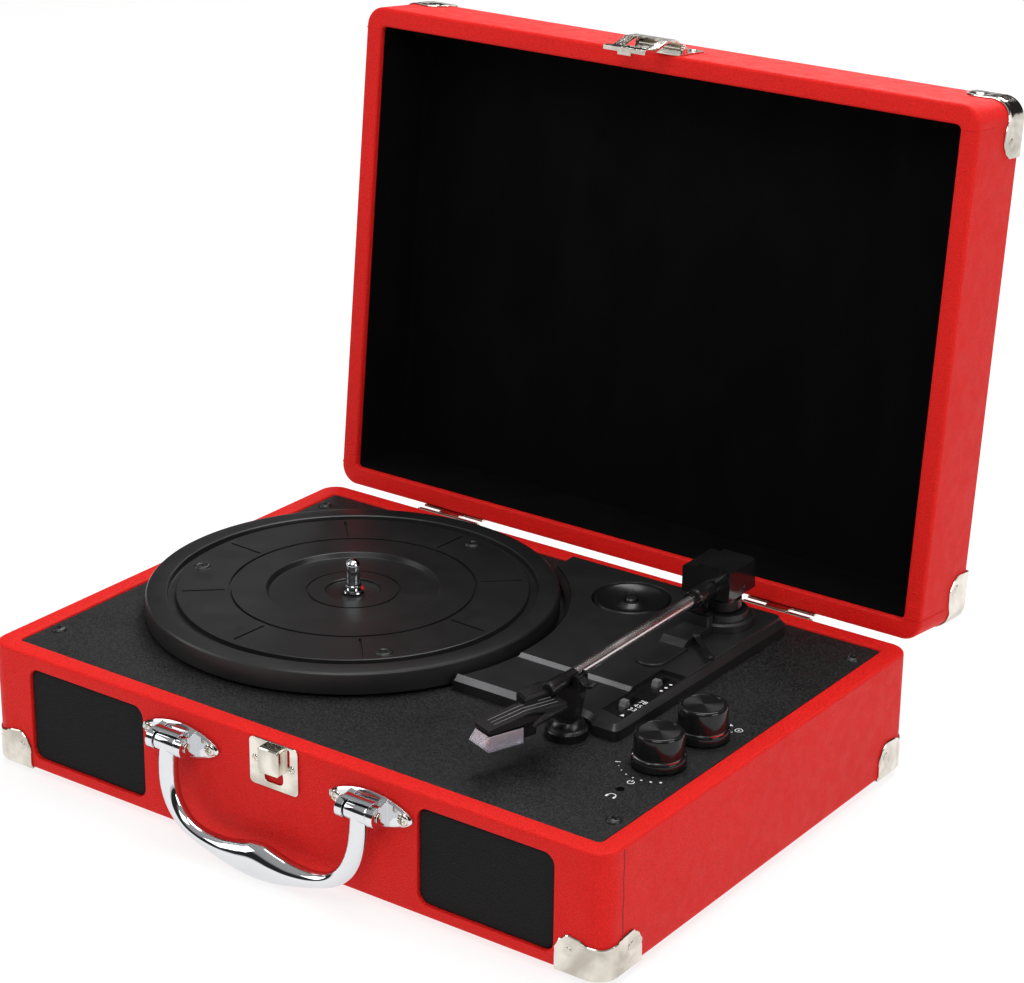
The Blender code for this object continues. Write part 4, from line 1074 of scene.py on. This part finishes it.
def dial_marks(cx, cy, radius, start, end, count, z):
    """A row of dots round a dial, growing from one end to the other."""
    marks = []
    for k in range(count):
        x, y = around(cx, cy, radius, start + (end - start) * k / (count - 1))
        marks.append(dot(x, y, 0.3 + 0.35 * k / (count - 1), z))
    return marks


def power_sign(cx, cy, z):
    bow = stroke(arc(cx, cy, 1.5, 125.0, 415.0, 22), 0.45, z)
    return [bow, stroke([(cx, cy + 0.4), (cx, cy + 2.0)], 0.45, z)]


def headphone_sign(cx, cy, z):
    marks = [stroke(arc(cx, cy, 1.9, 0.0, 180.0, 18), 0.45, z)]
    for side in (-1.9, 1.9):
        marks.append(printed(rect(cx + side - 0.55, cx + side + 0.55, cy - 1.7, cy + 0.2, 0.3, 3), z))
    return marks


def record_sign(cx, cy, z):
    return [stroke(arc(cx, cy, 1.7, 0.0, 350.0, 30), 0.4, z), dot(cx, cy, 0.5, z)]


def make_printing():
    z = DECK
    knob = middle("volume_knob")
    dial = middle("function_knob")
    jack = middle("headphone_jack")
    marks = dial_marks(knob.x, knob.y, 17.6, 222.0, 306.0, 7, z)
    marks += power_sign(knob.x - 0.2, knob.y - 21.6, z)
    marks.append(stroke([(knob.x - 14.4, knob.y - 8.2), (knob.x - 16.6, knob.y - 9.4)], 0.6, z))
    marks += headphone_sign(jack.x + 0.6, jack.y - 7.4, z)
    marks += record_sign(dial.x + 9.6, dial.y + 15.2, z)
    for x, y in ((dial.x - 0.4, dial.y + 20.4), (dial.x + 7.4, dial.y + 11.4)):
        marks.append(stroke([(x - 0.8, y - 0.8), (x + 0.8, y + 0.8)], 0.6, z))
    arrow = ((3.4, 16.2), (5.4, 17.4), (3.4, 18.6))
    marks.append(printed([(dial.x + x, dial.y + y) for x, y in arrow], z))
    piece("deck_printing", joined(*marks), INK, "base", angle=50.0)

    z = PANEL_Z + 0.12
    marks = [digits(text, 4.2, (115.0, y, z)) for text, y in SPEEDS]
    for y in (136.0, 140.0, 144.0):
        marks.append(dot(114.8, y, 0.8, z))
    marks.append(printed([(113.6, 103.6), (116.0, 103.6), (114.8, 105.8)], z))
    piece("switch_panel_figures", joined(*marks), INK, "base", angle=50.0)


# (radius, depth below the platter's top), from the centre hole out, round the rim and back under
PLATTER_LINE = (
    ((4.2, 3.6), (12.6, 3.6), (13.4, 3.3), (13.6, 2.3), (13.9, 2.1), (21.9, 2.1), (22.0, 2.9))
    + ((22.9, 2.9), (23.0, 2.2), (40.9, 2.7), (41.1, 2.6), (42.2, 0.4), (42.5, 0.2), (59.1, 0.2))
    + ((59.2, 1.5), (60.5, 1.5), (60.6, 0.2), (62.4, 0.2), (62.5, 0.2), (82.6, 0.2), (82.7, 0.2))
    + ((85.6, 0.2), (86.0, 0.5), (86.3, 2.8), (89.9, 2.8), (90.4, 0.4), (91.0, 0.0), (98.9, 0.0))
    + ((100.0, 0.3), (100.7, 1.0), (100.9, 1.9), (101.1, 10.6), (99.0, 10.6), (98.0, 4.2))
    + ((60.0, 4.2), (60.0, 10.4), (57.0, 10.4), (57.0, 6.0), (9.0, 6.0), (9.0, 10.8), (4.2, 10.8))
)
GROOVES = 8
GROOVE_DEPTH = 1.3


def make_platter():
    """The top skin is a polar grid, so the eight narrow grooves can be pressed into it."""
    top = PLATTER_TOP
    offsets = (-0.62, -0.5, 0.0, 0.5, 0.62)
    sector = 2.0 * math.pi / GROOVES
    steps = 18
    rings = []
    for radius, depth in PLATTER_LINE:
        ring = []
        pressed = 62.45 < radius < 82.65
        reach = max(radius, 20.0)
        for k in range(GROOVES):
            heading = sector * k - math.radians(3.3)
            spots = [(heading + off / reach, pressed and abs(off) < 0.55) for off in offsets]
            width = sector + (offsets[0] - offsets[-1]) / reach
            start = heading + offsets[-1] / reach
            spots += [(start + width * j / steps, False) for j in range(1, steps)]
            for angle, low in spots:
                x, y = around(PLATTER.x, PLATTER.y, radius, math.degrees(angle))
                ring.append((x, y, top - depth - (GROOVE_DEPTH if low else 0.0)))
        rings.append(ring)
    disc = loft(rings, closed=True)
    piece("platter_disc", disc, DISC, "platter", BASE, ["platter"], angle=28.0)

    bosses = []
    for k in range(3):
        x, y = around(PLATTER.x, PLATTER.y, 79.2, 79.3 + 120.0 * k)
        profile = [(1.3, top - 1.6), (1.3, top + 0.2), (1.7, top + 0.6), (3.3, top + 0.7)]
        profile += [(3.9, top + 0.5), (4.3, top - 0.4)]
        bosses.append(lathe(profile, (x, y), "z", 40, True))
    piece("platter_bosses", joined(*bosses), DISC, "platter", angle=50.0)


def make_spindle():
    """A turned pin with a rounded nose, standing in a washer and a spring clip."""
    spot = (PLATTER.x, PLATTER.y)
    low, peak = span("spindle")
    seat = PLATTER_TOP - 2.1
    profile = [(0.0, low.z), (7.5, low.z), (7.5, 55.7), (3.7, 55.7)]
    profile += [(3.7, seat - 1.4), (3.5, seat - 1.2)]
    nose = ((3.5, 2.6), (3.35, 2.0), (2.9, 1.0), (2.1, 0.35), (1.1, 0.05), (0.0, 0.0))
    profile += [(radius, peak.z - depth) for radius, depth in nose]
    washer = ((3.5, -0.8), (5.5, -0.8), (5.7, -0.5), (5.5, -0.1), (3.5, -0.1))
    collar = ((3.45, 1.5), (4.1, 1.7), (4.1, 2.6), (3.45, 2.8))
    parts = [lathe(profile, spot, "z", 48)]
    for section in (washer, collar):
        parts.append(lathe([(radius, seat + rise) for radius, rise in section], spot, "z", 48, True))
    ring = arc(*spot, 5.2, -150.0, 150.0, 30) + arc(*spot, 3.6, 150.0, -150.0, 30)
    parts.append(loft([at_z(ring, seat), at_z(ring, seat + 0.8)]))
    piece("spindle_pin", joined(*parts), CHROME, "base", BASE, ["spindle"])


# ---- knobs, board, arm and inside


def make_knobs():
    """Each knob: a skirt and a drum, a turned cap sunk in its top and a bright band at its foot."""
    for node in ("volume_knob", "function_knob"):
        low, high = span(node)
        spot = middle(node).xy
        foot = low.z
        top = high.z
        body = NODES[node]["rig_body"]
        bore = [(0.0, 10.8), (3.3, 10.8), (3.3, 0.0)]
        skirt = [(12.0, 0.0), (12.4, 0.3), (12.4, 3.6), (12.1, 4.2), (11.5, 4.5), (11.3, 9.0)]
        crown = ((11.2, 1.5), (10.9, 0.6), (10.3, 0.1), (9.9, 0.0), (9.4, 0.15), (9.2, 0.5), (0.0, 0.5))
        profile = [(radius, foot + rise) for radius, rise in bore + skirt]
        profile += [(radius, top - depth) for radius, depth in crown]
        skin = lathe(profile, spot, "z", 96)
        piece(node + "_skin", skin, GLOSS, body, replaces=[node])
        disc = [(0.0, top - 0.52), (9.1, top - 0.52), (9.1, top - 0.42), (0.0, top - 0.36)]
        piece(node + "_cap", lathe(disc, spot, "z", 96), spun_black(node), body)
        band = [(11.5, foot + 4.4), (12.0, foot + 4.6), (12.0, foot + 5.1), (11.4, foot + 5.3)]
        ring = lathe(band, spot, "z", 96, True)
        piece(node + "_band", ring, CHROME, body)
    refined("headphone_jack", GLOSS, 0.1)


def make_board():
    refined("tonearm_board", MOULDED, 0.45)
    # thin strips over the step and the front bevel, painted a lighter grey: a painted highlight where
    # the bevels catch the light
    step = [(125.1, 66.36), (127.9, 66.36), (127.9, 67.72), (127.6, 67.73)]
    lip = [(90.96, 63.8), (91.2, 63.7), (93.6, 66.3), (93.4, 66.44)]
    end = middle("arm_rest").x - 12.0
    strips = []
    for outline, left, right in ((step, 42.4, 104.4), (lip, 31.0, end)):
        strips.append(loft([[(x, y, z) for y, z in outline] for x in (left, right)]))
    piece("board_edge_highlights", joined(*strips), EDGE, "base")
    panel = inset([(104.6, 103.0), (118.0, 100.0), (118.0, 152.0), (104.6, 152.0)], 0.15)
    slots = []
    for near, far in ((108.0, 124.0), (136.0, 149.0)):
        hole = rect(108.2, 112.0, near, far, 0.3, 3)
        slots.append(loft([at_z(hole, PANEL_Z - 1.0), at_z(hole, PANEL_Z + 1.0)]))
    plate = loft([at_z(panel, PANEL_Z + 0.02), at_z(panel, PANEL_Z + 0.12)])
    piece("switch_panel", plate, GLOSS, "base", cuts=slots)
    refined("adapter_45", SATIN, 0.2)
    for node in ("speed_switch", "auto_stop_switch"):
        refined(node, EDGE, 0.2)


def on_head(along, across, height):
    """A point of the head's own frame, whose length runs the way the guard pulls off."""
    run = Vector((HEAD_RUN.x, HEAD_RUN.y, 0.0)).normalized()
    side = Vector((-run.y, run.x, 0.0))
    start = Vector((GUARD.x, GUARD.y, 0.0)) - run * 33.0
    return start + run * along + side * across + Vector((0.0, 0.0, height))


def make_arm():
    refined("tonearm_base", MOULDED, 0.3)
    eased = (("arm_rest", 0.3), ("arm_clip", 0.25), ("cue_lever", 0.2), ("cue_lift", 0.15))
    for node, edge in (*eased, ("tonearm_turret", 0.3)):
        refined(node, SATIN, edge)
    refined("tonearm_housing", GLOSS, 0.6)
    refined("tonearm_tube", ALUMINIUM, 0.0)
    refined("headshell", SATIN, 0.3)
    ribs = []
    top = 85.52
    bend = 19.5
    fall = 0.157
    for across in (-2.6, 0.0, 2.6):
        path = []
        for along in (3.0, 12.0, bend, 28.0, 36.0):
            path.append(on_head(along, across, top - max(0.0, along - bend) * fall))
        ribs.append(rope(path, 0.15, 6))
    piece("headshell_ribs", joined(*ribs), EDGE, "arm")
    tip = [on_head(along, 0.0, z) for along, z in ((38.0, 75.2), (40.2, 74.0), (41.2, 73.4))]
    carrier = [on_head(along, 0.0, 74.8) for along in (33.0, 35.5, 38.6)]
    shape = joined(rope(tip, [0.5, 0.4, 0.2], 8), rope(carrier, [2.6, 2.5, 1.4], 12))
    piece("stylus_carrier", shape, stylus_red(), "arm")
    refined("cartridge", GLOSS, 0.3)
    refined("stylus_guard", CLEAR, 0.35)


def make_inside():
    refined("motor", STEEL, 0.3)
    refined("motor_pulley", ALUMINIUM, 0.15)
    refined("drive_belt", RUBBER, 0.0)
    refined("amplifier_board", circuit_board(), 0.2)
    for node in ("volume_pot", "function_switch"):
        refined(node, STEEL, 0.3)
    cone = paper_cone()
    for node in ("speaker_left", "speaker_right"):
        refined(node, cone, 0.3)


# ---- studio


def area_light(name, place, target, size, power):
    data = bpy.data.lights.new(name, "AREA")
    data.shape = "RECTANGLE"
    data.size = size[0]
    data.size_y = size[1]
    data.energy = power
    lamp = placed(name, data)
    lamp.location = place
    lamp.rotation_euler = (Vector(target) - Vector(place)).to_track_quat("-Z", "Y").to_euler()


def make_studio():
    scene = bpy.context.scene
    world = bpy.data.worlds.new("studio")
    world.use_nodes = True
    tree = world.node_tree
    background = tree.nodes["Background"]
    direction = tree.nodes.new("ShaderNodeTexCoord")
    height = tree.nodes.new("ShaderNodeSeparateXYZ")
    ramp = tree.nodes.new("ShaderNodeValToRGB")
    tree.links.new(direction.outputs["Generated"], height.inputs[0])
    tree.links.new(height.outputs[2], ramp.inputs[0])
    tree.links.new(ramp.outputs[0], background.inputs[0])
    stops = ((0.0, 1.0), (0.03, 0.95), (0.08, 0.03), (0.46, 0.03), (0.6, 0.42), (1.0, 0.5))
    while len(ramp.color_ramp.elements) < len(stops):
        ramp.color_ramp.elements.new(0.5)
    for element, (place, level) in zip(ramp.color_ramp.elements, stops):
        element.position = place
        element.color = (level, level, level, 1.0)
    background.inputs[1].default_value = 0.8
    scene.world = world
    mesh = bpy.data.meshes.new("floor")
    reach = 12.0
    corners = [(-reach, -reach, 0), (reach, -reach, 0), (reach, reach, 0), (-reach, reach, 0)]
    mesh.from_pydata(corners, [], [(0, 1, 2, 3)])
    mesh.materials.append(studio_floor())
    floor = placed("floor", mesh)
    area_light("key", (0.5, -1.2, 1.6), (0.0, 0.0, 0.1), (1.1, 1.1), 14.5)
    area_light("fill", (-1.4, -0.9, 0.9), (0.0, 0.0, 0.1), (0.9, 0.7), 6.0)
    area_light("side", (1.7, -0.1, 0.8), (0.0, 0.0, 0.1), (0.8, 0.8), 7.0)
    area_light("top", (0.1, 0.45, 1.9), (0.0, 0.0, 0.0), (1.3, 1.3), 24.0)
    area_light("back", (-0.35, 1.5, 1.25), (0.0, 0.1, 0.2), (1.2, 0.6), 16.0)
    scene.view_settings.view_transform = "Standard"


def make_camera():
    right = Vector((0.8097632, 0.5866786, 0.0095775))
    up = Vector((-0.2227058, 0.2922065, 0.9300632))
    back = Vector((0.5428496, -0.7552639, 0.3672748))
    matrix = Matrix((right, up, back)).transposed().to_4x4()
    matrix.translation = Vector((0.744449, -1.017132, 0.630537))
    data = bpy.data.cameras.new("camera")
    data.lens = 100.38
    data.sensor_width = 36.0
    camera = placed("camera", data)
    camera.matrix_world = matrix
    bpy.context.scene.camera = camera


make_case()
make_lid()
make_corners()
make_grilles()
make_handle()
make_latch()
make_hinges()
make_back()
make_deck()
make_printing()
make_platter()
make_spindle()
make_knobs()
make_board()
make_arm()
make_inside()
make_studio()
make_camera()
